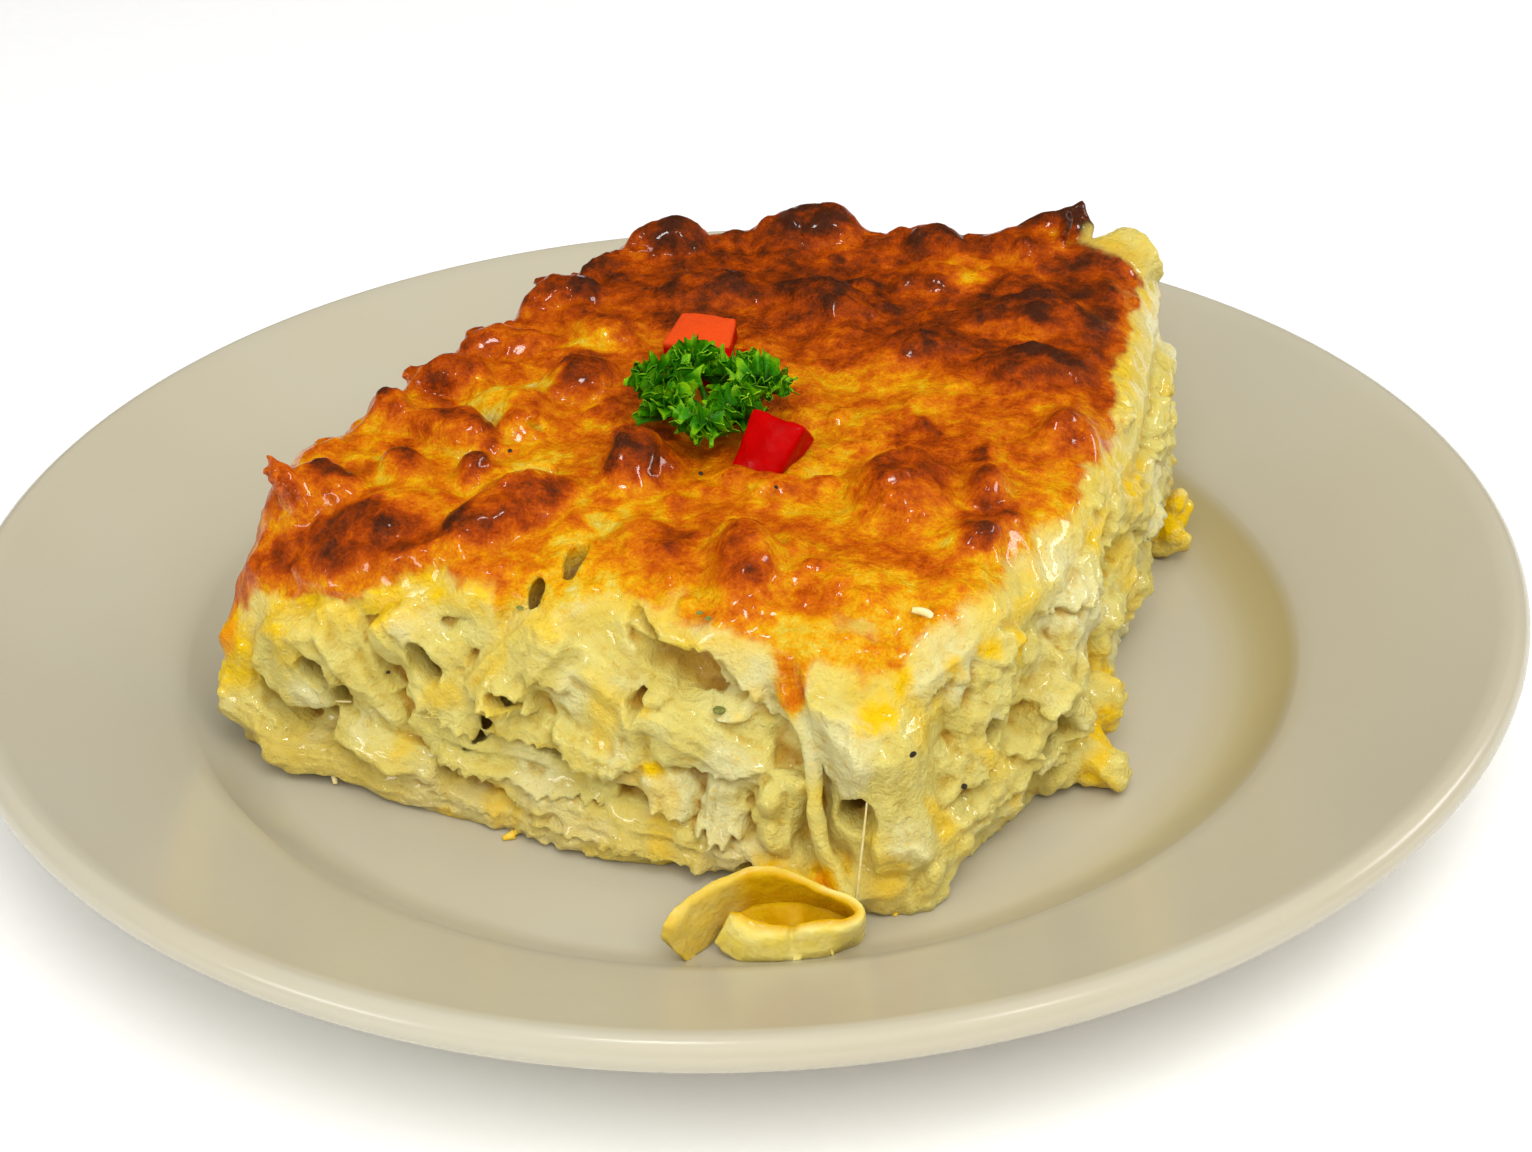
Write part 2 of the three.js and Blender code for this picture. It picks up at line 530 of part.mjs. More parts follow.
// A frilled leaflet: a thin toothed fan that waves up and down, with both faces cut into triangles alike
function leaflet(radius, phase) {
  const shares = [0.5, 1];
  const point = (step, share, side) => {
    const angle = LEAF_SPREAD * ((2 * step) / LEAF_STEPS - 1);
    const tooth = share < 1 ? 0.9 : [LEAF_NOTCH, 1][step % 2];
    const reach = radius * share * tooth;
    const wave = LEAF_WAVE * share * Math.sin(0.5 * Math.PI * step + phase);
    const height = radius * (wave + LEAF_CUP * share * share) + (side * LEAF_THICKNESS) / 2;
    return [reach * Math.cos(angle) + radius / 4, reach * Math.sin(angle), height];
  };
  const faceRings = (side) => shares.flatMap((share) => (
    Array.from({ length: LEAF_STEPS + 1 }, (_, step) => point(step, share, side))));
  const foot = LEAF_THICKNESS / 2;
  const points = [[0, 0, foot], ...faceRings(1), [0, 0, -foot], ...faceRings(-1)];
  const shift = points.length / 2;
  const faces = [];
  const both = (a, b, c) => faces.push(a, b, c, a + shift, c + shift, b + shift);
  const wall = (a, b) => faces.push(a, a + shift, b + shift, a, b + shift, b);
  const rim = LEAF_STEPS + 2;
  for (let step = 0; step < LEAF_STEPS; step += 1) {
    both(0, 1 + step, 2 + step);
    both(1 + step, rim + step, rim + step + 1);
    both(1 + step, rim + step + 1, 2 + step);
    wall(rim + step, rim + step + 1);
  }
  wall(0, 1);
  wall(1, rim);
  wall(rim + LEAF_STEPS, 1 + LEAF_STEPS);
  wall(1 + LEAF_STEPS, 0);
  return fromPoints(points, faces);
}

function stalk(from, to) {
  const start = new THREE.Vector3(...from);
  const end = new THREE.Vector3(...to);
  const way = end.clone().sub(start);
  const shape = new THREE.CylinderGeometry(STALK_RADIUS * 0.8, STALK_RADIUS, way.length() + 1, 4, 1);
  const upright = new THREE.Vector3(0, 1, 0);
  shape.applyQuaternion(new THREE.Quaternion().setFromUnitVectors(upright, way.clone().normalize()));
  shape.translate(...start.add(end).multiplyScalar(0.5).toArray());
  return toSolid(shape);
}

function parsleySprig() {
  const pieces = LEAFLETS.flatMap(([x, y, height, bearing, lift, radius], index) => {
    const leaf = leaflet(radius, index);
    leaf.rotateY(radians(-lift));
    leaf.rotateZ(radians(bearing));
    leaf.translate(x, y, height);
    return [toSolid(leaf), stalk([0, 0, 0.4], [x, y, height])];
  });
  return joined(pieces).translate(SPRIG_ROOT);
}

// Loose ring of macaroni, torn open: its band follows a curve across and up the ring's own plane, and the
// ring's axis leans forward from upright, so that it rests on its front wall
const RING_CURVE = [
  [-13.6, -3.6], [-11.6, -0.9], [-8, 1.8], [-3.6, 3.5], [1, 4], [5.6, 3], [8.1, 0.5],
  [7.4, -1.9], [4, -3.5], [-0.6, -3.9], [-5, -3.1], [-8.3, -1.1],
];
const RING_PLACE = [5, -75, 10.6];
const RING_LEAN = 35;
const RING_BAND = 5.2;
const RING_STEPS = 22;

function looseRing() {
  const curve = new THREE.CatmullRomCurve3(RING_CURVE.map(([x, y]) => new THREE.Vector3(x, y, 0)));
  const points = [];
  for (let step = 0; step <= RING_STEPS; step += 1) {
    const middle = curve.getPointAt(step / RING_STEPS);
    const way = curve.getTangentAt(step / RING_STEPS);
    const fromEnd = Math.min(step, RING_STEPS - step);
    const half = (TUBE_WALL / 2) * Math.min(1, 0.6 + 0.2 * fromEnd);
    for (const [side, level] of [[-1, -1], [-1, 1], [1, 1], [1, -1]]) {
      points.push([middle.x + side * half * way.y, middle.y - side * half * way.x, (level * RING_BAND) / 2]);
    }
  }
  const faces = [0, 2, 1, 0, 3, 2];
  for (let step = 0; step < RING_STEPS; step += 1) {
    for (let corner = 0; corner < 4; corner += 1) {
      const [a, b] = [4 * step + corner, 4 * step + ((corner + 1) % 4)];
      faces.push(a, b, b + 4, a, b + 4, a + 4);
    }
  }
  const last = 4 * RING_STEPS;
  faces.push(last, last + 1, last + 2, last, last + 2, last + 3);
  const shape = fromPoints(points, faces);
  shape.rotateX(radians(RING_LEAN));
  shape.translate(...RING_PLACE);
  return toSolid(shape);
}

// A solid and its copies moved by the gap along each axis
function grown(solid) {
  const moves = [[GAP, 0, 0], [-GAP, 0, 0], [0, GAP, 0], [0, -GAP, 0], [0, 0, GAP], [0, 0, -GAP]];
  return joined([solid, ...moves.map((move) => solid.translate(move))]);
}

function part(name, solid, material) {
  const mesh = new THREE.Mesh(toGeometry(solid), material);
  mesh.name = name;
  return mesh;
}

const dish = new THREE.Group();
const plateSolid = toSolid(plateGeometry());
dish.add(part('plate', plateSolid, MATERIALS.plate));
const ringSolid = mainBody(looseRing().subtract(plateSolid.translate([0, 0, GAP])));
dish.add(part('loose_macaroni_ring', ringSolid, MATERIALS.pasta));

const serving = new THREE.Group();
serving.applyMatrix4(slabToPlate);
dish.add(serving);
const slabSolid = gratinSlab(plateSolid);
serving.add(part('gratin_slab', slabSolid, MATERIALS.gratin));

const raisedSlab = slabSolid.translate([0, 0, GAP]);
let taken = raisedSlab;
for (const [name, die] of Object.entries(DICE)) {
  const solid = mainBody(pepperDice(die).subtract(raisedSlab));
  serving.add(part(name, solid, MATERIALS.pepper));
  taken = taken.add(grown(solid));
}
serving.add(part('parsley_sprig', mainBody(parsleySprig().subtract(taken)), MATERIALS.parsley));

export default dish;
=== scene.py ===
# A cut square of macaroni gratin on a round wide-rimmed plate, with a parsley sprig and diced red pepper.
# Lengths are in millimetres, in the frame's axes or in the slab's own, and MM turns them into metres.
import math

import bpy
import numpy as np
from mathutils import Euler, Matrix, Vector


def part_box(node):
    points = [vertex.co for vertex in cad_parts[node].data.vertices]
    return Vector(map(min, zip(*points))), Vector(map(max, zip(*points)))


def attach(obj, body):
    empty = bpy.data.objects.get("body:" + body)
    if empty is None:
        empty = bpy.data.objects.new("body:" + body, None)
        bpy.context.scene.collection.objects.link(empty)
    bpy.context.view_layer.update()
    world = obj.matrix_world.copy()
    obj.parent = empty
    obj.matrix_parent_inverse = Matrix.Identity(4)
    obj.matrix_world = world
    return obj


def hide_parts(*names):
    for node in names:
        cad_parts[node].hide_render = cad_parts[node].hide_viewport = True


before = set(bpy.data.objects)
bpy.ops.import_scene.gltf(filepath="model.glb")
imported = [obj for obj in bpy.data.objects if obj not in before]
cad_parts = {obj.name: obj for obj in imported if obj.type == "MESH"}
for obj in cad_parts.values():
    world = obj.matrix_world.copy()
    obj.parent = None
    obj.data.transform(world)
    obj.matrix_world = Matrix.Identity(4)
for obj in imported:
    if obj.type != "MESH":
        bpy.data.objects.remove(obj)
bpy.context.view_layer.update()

MM = 0.001
BODY = "root"


# Sizes taken from the frame

def node_box(name):
    low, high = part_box(name)
    return np.array(low) / MM, np.array(high) / MM


PLATE_LOW, PLATE_HIGH = node_box("plate")
PLATE_RADIUS = (PLATE_HIGH[0] - PLATE_LOW[0]) / 2
RIM_TOP = PLATE_HIGH[2]

# Plate, as real sizes
ROLL_RADIUS = 2.5
CREASE_RADIUS = 83.4
CREASE_HEIGHT = 10.6
FLOOR_RADIUS = 74.5
FLOOR_HEIGHT = 6.0
WELL_SWEEP = 1.8
PLATE_WALL = 4.4
FOOT_RADIUS = 64.0
FOOT_WIDTH = 3.5
FOOT_DEPTH = 1.8
PLATE_SEGMENTS = 224

# Slab frame: x runs along the front cut, y into the depth, z up from the plate's floor
SLAB_CORNER = (-71.7, -25.8)
SLAB_TURN = math.radians(-24.06)
SLAB_WIDTH = 98.0
SLAB_TO_PLATE = Matrix.Translation((*SLAB_CORNER, FLOOR_HEIGHT)) @ Matrix.Rotation(SLAB_TURN, 4, "Z")

FRONT_EDGE = [(-2.6, 0.6), (30, -0.6), (62, -0.4), (88, -0.6), (98, 0.8)]
RIGHT_EDGE = [(98, 0.8), (104.2, 9), (108.6, 22), (110.8, 36), (110.6, 58), (108, 82), (103.4, 106),
              (99.4, 121)]
BACK_EDGE = [(99.4, 121), (82, 120.5), (64, 117), (44, 115), (28, 106), (14.5, 98)]
LEFT_EDGE = [(14.5, 98), (10.5, 80), (8.2, 62), (4, 40), (-0.6, 18), (-2.6, 0.6)]

# Voxel grid of the slab, and the corners of one cell
CORNERS = np.array([(i, j, k) for i in (0, 1) for j in (0, 1) for k in (0, 1)])
PITCH = 0.4
FACE_REACH = 12
GRID_LOW = np.array([-9.0, -9.0, -1.0])
GRID_HIGH = np.array([125.0, 130.0, 53.0])
GRATIN_FACES = 195000


# Noise: points of the lattice along each axis, and the seeds of what is scattered

LATTICE = 48
BLISTER_SEED = 21
FLAP_SEED = 5
CURD_SEED = 31
LUMP_CURD_SEED = 8
PARSLEY_SEED = 12


def lattice(seed):
    return np.random.default_rng(seed).random((LATTICE,) * 3).astype(np.float32) * 2 - 1


LATTICES = [lattice(seed) for seed in range(6)]


def noise(points, size, seed=0):
    """Smooth noise between -1 and 1 at each point, with lumps about as large as size."""
    table = LATTICES[seed % len(LATTICES)]
    place = points / size + 17.3 * (seed + 1)
    low = np.floor(place)
    share = place - low
    share = share * share * (3 - 2 * share)
    low = low.astype(np.int64) % LATTICE
    high = (low + 1) % LATTICE
    value = 0
    for dx, ix in ((1 - share[:, 0], low[:, 0]), (share[:, 0], high[:, 0])):
        for dy, iy in ((1 - share[:, 1], low[:, 1]), (share[:, 1], high[:, 1])):
            for dz, iz in ((1 - share[:, 2], low[:, 2]), (share[:, 2], high[:, 2])):
                value = value + dx * dy * dz * table[ix, iy, iz]
    return value


def layered(points, size, seed=0, layers=3, fade=0.5):
    """Layers of noise, each with half the size of the one before and less of it."""
    total = sum(fade ** layer * noise(points, size / 2 ** layer, seed + layer) for layer in range(layers))
    return total / sum(fade ** layer for layer in range(layers)) * 1.5


def shaken(points, reach, size, seeds):
    """Points moved by noise, with one seed for each axis."""
    return points + reach * np.stack([noise(points, size, seed) for seed in seeds], 1)


def smooth(low, high, value):
    """Rises from 0 to 1 between two values."""
    share = np.clip((value - low) / (high - low), 0, 1)
    return share * share * (3 - 2 * share)


def falling(low, high, value):
    """Falls from 1 to 0 between two values."""
    return 1 - smooth(low, high, value)


def between(rise, fall, value):
    """Rises from 0 to 1 over one range of values and falls back over another."""
    return smooth(*rise, value) * falling(*fall, value)


def blend(value, target, share):
    """A value moved a share of the way to its target."""
    return value + share * (target - value)


def soft_min(first, second, width):
    """The smaller of two values, with the corner between them rounded over a width."""
    rounding = np.maximum(width - np.abs(first - second), 0) / width
    return np.minimum(first, second) - rounding * rounding * width / 4


def soft_max(first, second, width):
    return -soft_min(-first, -second, width)


# Meshes

def mesh_object(name, points, faces):
    """A smooth mesh object from points in the plate's frame and faces that all have as many corners."""
    points = np.asarray(points, np.float64) * MM
    faces = np.asarray(faces, np.int32)
    mesh = bpy.data.meshes.new(name)
    mesh.vertices.add(len(points))
    mesh.vertices.foreach_set("co", points.ravel())
    mesh.loops.add(faces.size)
    mesh.loops.foreach_set("vertex_index", faces.ravel())
    mesh.polygons.add(len(faces))
    mesh.polygons.foreach_set("loop_start", np.arange(0, faces.size, faces.shape[1]))
    mesh.update(calc_edges=True)
    mesh.validate()
    mesh.polygons.foreach_set("use_smooth", np.ones(len(mesh.polygons), bool))
    piece = bpy.data.objects.new(name, mesh)
    bpy.context.collection.objects.link(piece)
    return piece


def join_meshes(parts):
    """Points and faces of several (points, faces) pairs as one pair."""
    points = []
    faces = []
    count = 0
    for part_points, part_faces in parts:
        points.append(np.asarray(part_points, float))
        faces.append(np.asarray(part_faces) + count)
        count += len(part_points)
    return np.concatenate(points), np.concatenate(faces)


def moved(matrix, points):
    """Points turned and shifted by a matrix."""
    turn = np.array(matrix.to_3x3())
    return np.asarray(points, float) @ turn.T + np.array(matrix.translation)


def on_slab(name, parts):
    """One mesh object from parts in the slab's frame."""
    points, faces = join_meshes(parts)
    return mesh_object(name, moved(SLAB_TO_PLATE, points), faces)


def apply_modifiers(piece):
    bpy.context.view_layer.objects.active = piece
    for modifier in list(piece.modifiers):
        with bpy.context.temp_override(object=piece, active_object=piece, selected_objects=[piece]):
            bpy.ops.object.modifier_apply(modifier=modifier.name)


def set_attribute(piece, name, values):
    layer = piece.data.attributes.new(name, "FLOAT", "POINT")
    layer.data.foreach_set("value", np.asarray(values, np.float32))


def finish_piece(piece, material, slot, *nodes):
    piece.data.materials.append(material)
    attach(piece, BODY)
    if nodes:
        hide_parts(*nodes)


def strip_faces(rings, sides):
    """Triangles between each ring of points and the next, where the rings have as many sides."""
    first = np.arange(rings - 1)[:, None] * sides
    side = np.arange(sides)
    a = (first + side).ravel()
    b = (first + (side + 1) % sides).ravel()
    return np.concatenate([np.stack([a, a + sides, b + sides], 1), np.stack([a, b + sides, b], 1)])


def closed_strip_faces(rings, sides):
    """A strip whose two ends are closed by the two points that follow the rings."""
    side = np.arange(sides)
    following = (side + 1) % sides
    last = (rings - 1) * sides
    start = np.full(sides, rings * sides)
    return np.concatenate([strip_faces(rings, sides), np.stack([start, side, following], 1),
                           np.stack([start + 1, last + following, last + side], 1)])


def grid_faces(rows, columns):
    """Four-cornered faces of a grid of points."""
    grid = np.arange(rows * columns).reshape(rows, columns)
    return np.stack([grid[:-1, :-1], grid[1:, :-1], grid[1:, 1:], grid[:-1, 1:]], -1).reshape(-1, 4)


def posed(place, turn, lift=0.0):
    """A place, a turn about Z and a lift of the X axis in degrees, as one matrix."""
    return (Matrix.Translation(place) @ Matrix.Rotation(math.radians(turn), 4, "Z")
            @ Matrix.Rotation(-math.radians(lift), 4, "Y"))


def curve_points(corners, count):
    """Evenly spaced points on a Catmull-Rom curve through the corners, and its length."""
    corners = np.asarray(corners, float)
    first = 2 * corners[0] - corners[1]
    last = 2 * corners[-1] - corners[-2]
    control = np.vstack([first, corners, last])
    fine = []
    for index in range(len(corners) - 1):
        p0, p1, p2, p3 = control[index:index + 4]
        t = np.linspace(0, 1, 40, endpoint=False)[:, None]
        fine.append(0.5 * (2 * p1 + (p2 - p0) * t + (2 * p0 - 5 * p1 + 4 * p2 - p3) * t ** 2
                           + (3 * p1 - p0 - 3 * p2 + p3) * t ** 3))
    fine = np.vstack([*fine, corners[-1:]])
    reach = np.concatenate([[0], np.cumsum(np.linalg.norm(np.diff(fine, axis=0), axis=1))])
    places = np.linspace(0, reach[-1], count)
    points = np.stack([np.interp(places, reach, column) for column in fine.T], 1)
    return points, reach[-1]


def tube_mesh(path, radii, sides=8):
    """A closed tube along a path, with a radius at each of its points."""
    path = np.asarray(path, float)
    way = np.gradient(path, axis=0)
    way /= np.linalg.norm(way, axis=1, keepdims=True)
    aside = np.cross(way, [0.31, 0.17, 0.93])
    aside /= np.linalg.norm(aside, axis=1, keepdims=True)
    above = np.cross(aside, way)
    angle = np.linspace(0, 2 * math.pi, sides, endpoint=False)
    radii = np.broadcast_to(radii, len(path))[:, None, None]
    rings = path[:, None] + radii * (np.cos(angle)[None, :, None] * aside[:, None]
                                     + np.sin(angle)[None, :, None] * above[:, None])
    points = np.vstack([rings.reshape(-1, 3), path[:1], path[-1:]])
    return points, closed_strip_faces(len(path), sides)


def plate_top(radius):
    """Height of the plate's upper face at a distance from its middle."""
    radius = np.asarray(radius, float)
    sweep = np.clip((radius - FLOOR_RADIUS) / (CREASE_RADIUS - FLOOR_RADIUS), 0, 1)
    well = FLOOR_HEIGHT + (CREASE_HEIGHT - FLOOR_HEIGHT) * sweep ** WELL_SWEEP
    share = np.clip((radius - CREASE_RADIUS) / (PLATE_RADIUS - ROLL_RADIUS - CREASE_RADIUS), 0, 1)
    rim = (RIM_TOP - CREASE_HEIGHT) * (0.9 * share + 0.1 * share * share)
    return well + rim


# Slab: plan, crust and cut sides

# Bumps of the crust: x, y, half length, half width, turn in degrees and height
BUMPS = [
    (50, 32, 6.5, 5.2, 80, 6.5), (37.5, 15, 12, 5, 62, 4.5), (74, 13, 8, 5, 108, 5.5),
    (86.5, 37, 9, 6.5, 105, 5.6), (96.5, 41, 5, 3.4, 110, 4), (70, 34, 11, 3.2, 8, 2.6),
    (93, 76, 9, 6, 20, 3.4), (88, 91, 12, 5.5, 12, 3.2), (23.5, 98, 6.5, 5.5, 40, 4.8),
    (44, 109, 8, 6, 15, 5.5), (64, 111, 7, 5.5, 0, 3.8), (79, 114, 8, 5, -12, 4),
    (36, 84, 8, 6, 30, 3.4), (55, 86, 9, 5.5, -20, 3.6), (70, 98, 8, 5, 10, 2.2),
    (74, 76, 9, 5, 30, 2.8), (30.5, 51, 7, 5.5, 75, 5), (20, 32, 10, 3.4, -10, 4.5),
    (28.2, 25, 5.4, 3, -70, 4), (18.5, 20.5, 5, 3, -50, 3.4), (9.5, 13, 8, 4.2, 5, 4.6),
    (24, 41, 10, 5, -35, 3.6), (14, 58, 8, 4.4, 30, 4.2), (16, 74, 8, 4.6, 40, 4.6),
    (25, 68, 9, 4.4, -30, 3.2), (12, 46, 6, 4, 15, 4), (9, 33.5, 6, 3.6, -20, 4),
    (22, 11, 12, 5, 14, 3), (58, 60, 8, 6, 15, 2.6), (103, 60, 7, 5, 80, 3),
    (101, 30, 8, 5, 50, 2.6), (60, 14, 9, 4.6, 150, 2.8), (90, 14, 8, 5, -30, 2.4),
]

# Flakes that stand off the crust's edge: place, turn and lift in degrees, length and width
FLAKES = [
    (5.5, 12.5, 38.6, 190, 22, 5, 8), (8, 35, 39, 170, 16, 3.4, 7), (12, 57, 40, 160, 24, 3.6, 7),
    (13.5, 76, 40.5, 150, 26, 3.6, 7), (8, 46, 39, 190, 12, 3.4, 7), (5, 24, 36.5, 200, 16, 3.6, 7),
    (82, 116, 41.5, 22, 46, 7.5, 9), (108, 50, 36, 5, -10, 3.4, 7), (106, 72, 38, 20, 5, 3.4, 7),
]

# Pasta in the cut sides: distance along the side, height, depth of the middle, length, height and depth
# of the section, lean and turn in degrees, and 1 for an open end
FRONT_PASTA = [
    (15, 19.5, 3.2, 12, 14, 15, 0, 84, 0), (25, 17.5, 1.4, 25, 8.5, 6.5, -62, 0, 0),
    (28.5, 8.6, 0.2, 17, 6.2, 7, -8, -4, 1), (39.5, 22, 1.8, 24, 8, 7, -44, 5, 0),
    (51, 27, 1, 17, 9.5, 9, 52, 6, 1), (60.5, 23, 1.6, 19, 11, 8, -38, 0, 0),
    (61.5, 16.2, 0.3, 16, 6.4, 7, -5, 0, 1), (48.5, 12.6, 0.8, 31, 5.6, 8, -7, 0, 0),
    (54.5, 8.2, 0.9, 28, 4.6, 9, -6, 0, 0), (46.5, 17.2, 2, 27, 5.4, 8, -12, 0, 0),
    (27, 3, 0.2, 36, 5.6, 8, -2, 0, 0), (60, 2.8, 0.4, 30, 5.4, 9, 0, 0, 0),
    (75.5, 6.4, 0.8, 26, 6, 9, -6, 0, 0), (78, 2, 2.6, 17, 4, 8, 0, 0, 0),
    (78, 26, 4.2, 14, 8, 8, -35, 10, 1), (75.5, 20.2, 1.2, 18, 7.6, 8, -18, 4, 0),
    (71.5, 14, 0.2, 11, 6.6, 6, -60, 0, 0), (79, 11.5, 0.2, 9, 6, 6, 86, 0, 1),
    (87, 12, 0.8, 13, 7, 7, 80, 0, 0), (8, 5.5, 1.2, 15, 6.5, 8, -24, 0, 0),
    (3, 14, 2.6, 11, 6.5, 7, 78, 0, 0), (98.5, 17, 2.0, 40, 12, 11, -80, 0, 0),
    (95, 4.4, 1, 13, 7.4, 8, -6, 0, 1), (88.5, 4, 1.2, 9, 7, 8, 60, 0, 0),
    (41, 15.2, 3.2, 15, 9, 8, -25, 0, 0), (50, 18.6, 3.2, 13, 8, 8, -15, 0, 0),
]
RIGHT_PASTA = [
    (14, 9, 2.3, 20, 9, 8, 12, 0, 0), (17, 24, 2.5, 20, 8.5, 8, 70, 0, 0),
    (30, 14, 2.4, 12, 10, 10, 0, 82, 1), (40, 25, 2.3, 22, 9, 8, 52, 0, 0),
    (45, 8, 2.3, 20, 8, 8, -8, 0, 0), (60, 17, 2.3, 22, 9, 8, 8, 0, 0),
    (66, 28, 2.5, 18, 9, 8, -26, 0, 0), (80, 10, 2.5, 22, 8, 8, 5, 0, 0),
    (86, 24, 2.3, 20, 9, 8, 30, 0, 0), (102, 13, 2.5, 20, 9, 8, -6, 0, 1),
    (104, 28, 2.9, 18, 9, 8, 12, 0, 0), (50, 33, 2.7, 16, 8, 8, 14, 0, 0),
]

# Rows of pasta in the cut sides that the photo doesn't show
LOOSE_LEVELS = (5.5, 15, 24.5, 32.5)
LOOSE_SPACING = 25
LOOSE_START = 13

# Torn flaps of pasta on the front cut: start of the lower edge round the slab and in height, its end in the
# same way, how far it sags, the flap's height, how far it stands out and how deep the edge's teeth are
FRONT_FLAPS = [
    (20.1, 9.4, 34.1, 7.4, -0.9, 6.0, 2.0, 0.3), (34.1, 11.8, 48.6, 8.8, -0.5, 5.0, 2.2, 0.6),
    (46.6, 9.2, 63.6, 9.6, -0.8, 3.8, 1.8, 0.6), (32.6, 18.2, 44.6, 15.8, -0.7, 8.5, 2.4, 0.9),
    (42.6, 16.2, 55.6, 15.2, 0.6, 4.0, 1.6, 0.9), (54.6, 19.4, 69.1, 17.8, -4.6, 11.0, 2.6, 0.9),
    (44.6, 20.6, 53.1, 20.4, 0.6, 6.0, 2.4, 1.2), (42.6, 6.6, 66.6, 4.6, -0.5, 2.8, 1.5, 0.5),
    (51.6, 4.2, 83.6, 2.8, -0.5, 3.2, 1.9, 0.5), (45.6, 1.5, 61.6, 0.9, -0.2, 2.4, 1.3, 1.0),
    (4.6, 3.4, 33.6, 0.9, -0.8, 4.6, 1.1, 0.3), (68.6, 12.2, 75.2, 10.6, -1.2, 7.5, 2.6, 0.7),
    (75.6, 9.8, 83.2, 9.4, -1.8, 8.0, 2.2, 1.8), (69.6, 18.4, 85.6, 19.6, -1.8, 8.0, 1.6, 0.5),
    (83.4, 12.4, 90.6, 10.8, -1.6, 6.0, 1.8, 0.4), (83.2, 5.6, 90.6, 4.4, -0.8, 5.0, 1.6, 0.5),
    (22.6, 16.6, 33.6, 18.4, -0.8, 8.0, 1.2, 0.3), (3.6, 9.6, 17.6, 7.0, -0.7, 5.0, 1.0, 0.4),
    (62.6, 13.6, 69.6, 12.6, -0.6, 3.6, 1.4, 0.6), (34.6, 4.4, 49.6, 2.8, -0.4, 3.4, 1.2, 0.5),
    (64.1, 31.6, 74.6, 33.4, 0.8, 4.0, 1.8, 0.9), (74.1, 33.6, 84.6, 26.6, 0.9, 4.5, 2.0, 1.1),
    (83.6, 27.0, 89.6, 24.4, -0.4, 4.0, 1.6, 0.8), (51.6, 25.5, 58.6, 24.5, 1.4, 6.0, 1.6, 0.9),
]

# Hollows in the cut sides: distance round the slab, height, half width, half height, depth, turn in degrees
FACE_HOLLOWS = [
    (18, 19.0, 2.1, 2.9, 9.0, 20), (21.4, 15.4, 2.0, 2.2, 3.2, -30), (36, 24.2, 1.8, 3.4, 5.0, 30),
    (74.1, 29.4, 8.0, 3.8, 3.4, -14), (97.6, 14.8, 2.8, 3.6, 4.8, -20), (49, 22.4, 2.8, 1.4, 3.6, 0),
    (55.2, 14.4, 4.0, 0.9, 2.4, -16), (14, 8.6, 1.3, 0.7, 1.4, -30),
    (8.6, 11.4, 1.0, 0.7, 1.3, 0), (83.2, 2.4, 2.2, 2.2, 4.0, 0), (52.2, 34.6, 1.5, 2.6, 5.0, 20),
    (67.4, 24.6, 1.2, 1.8, 1.0, 0), (27.6, 6.8, 2.4, 0.7, 1.4, -10), (128, 13.5, 2.2, 3.4, 5.5, 12),
    (117, 21, 1.4, 2.4, 3.0, 30), (143, 27, 2.6, 1.2, 2.6, 10), (160, 14, 2.0, 1.4, 2.4, 0),
    (137, 5.0, 1.8, 2.6, 3.4, -20), (179, 22, 2.6, 1.4, 2.8, 15),
]

# Smooth lobes of cheese that hang on the cut sides: distance round the slab, height, half width, half height,
# how far they stand out, turn in degrees
LOBES = [
    (29, 24.4, 3.2, 5.0, 2.0, -12), (17, 13.8, 1.9, 1.8, 1.0, 10), (17.2, 25.6, 1.7, 2.2, 1.4, 20),
    (25.1, 19.5, 10.5, 2.0, 2.0, -48), (16.2, 24.2, 5.0, 1.5, 1.2, -30), (94.1, 19, 11, 1.3, 0.9, -66),
    (40.6, 27.5, 8.5, 2.2, 1.4, 38), (41.6, 14.2, 5.5, 2.6, 1.4, -14),
    (73, 32.0, 1.0, 2.8, 2.8, 0), (69.4, 27.0, 1.7, 2.2, 2.2, 0), (77.2, 29.6, 4.2, 2.2, 1.9, -34),
    (79.6, 25.8, 3.8, 1.5, 2.2, -8), (86.2, 15.0, 2.4, 3.2, 2.4, 0), (86.8, 9.4, 2.8, 2.6, 2.4, 0),
    (87.6, 4.2, 2.4, 2.4, 2.2, 0), (101.3, 9.5, 2.6, 3.0, 1.8, 0), (98, 4.6, 3.0, 2.4, 1.8, 0),
    (104, 5.0, 2.2, 3.0, 1.6, 0), (113.0, 29.5, 1.3, 6.0, 1.8, -12), (119.6, 30.5, 0.7, 5.0, 1.4, 6),
    (63.1, 27.5, 3.2, 6.0, 1.4, 30),
    (79.1, 22.5, 4.4, 3.2, 1.2, -20), (8, 20.5, 3.0, 3.4, 1.2, 30), (90.2, 20.5, 2.6, 6.0, 1.2, 0),
    (126, 27, 2.2, 6.0, 1.6, -8), (131, 22, 3.4, 4.4, 1.8, 0),
    (139, 17, 4.0, 5.0, 1.8, 20), (150, 26, 3.0, 6.4, 1.4, -12), (165, 20, 4.4, 5.0, 1.6, 10),
    (176, 12, 5.0, 4.0, 1.6, 0), (190, 25, 4.0, 6.0, 1.4, 15), (205, 14, 5.0, 5.0, 1.5, 0),
]

# The smooth cone of cheese at the front corner: distance round the slab, height, half sizes and turn
CONE = (102.8, 20, 7.5, 18, 20)
TOOTH_PITCH = 2.1
CREVICE = 1.3
SIDE_FLAPS = 120

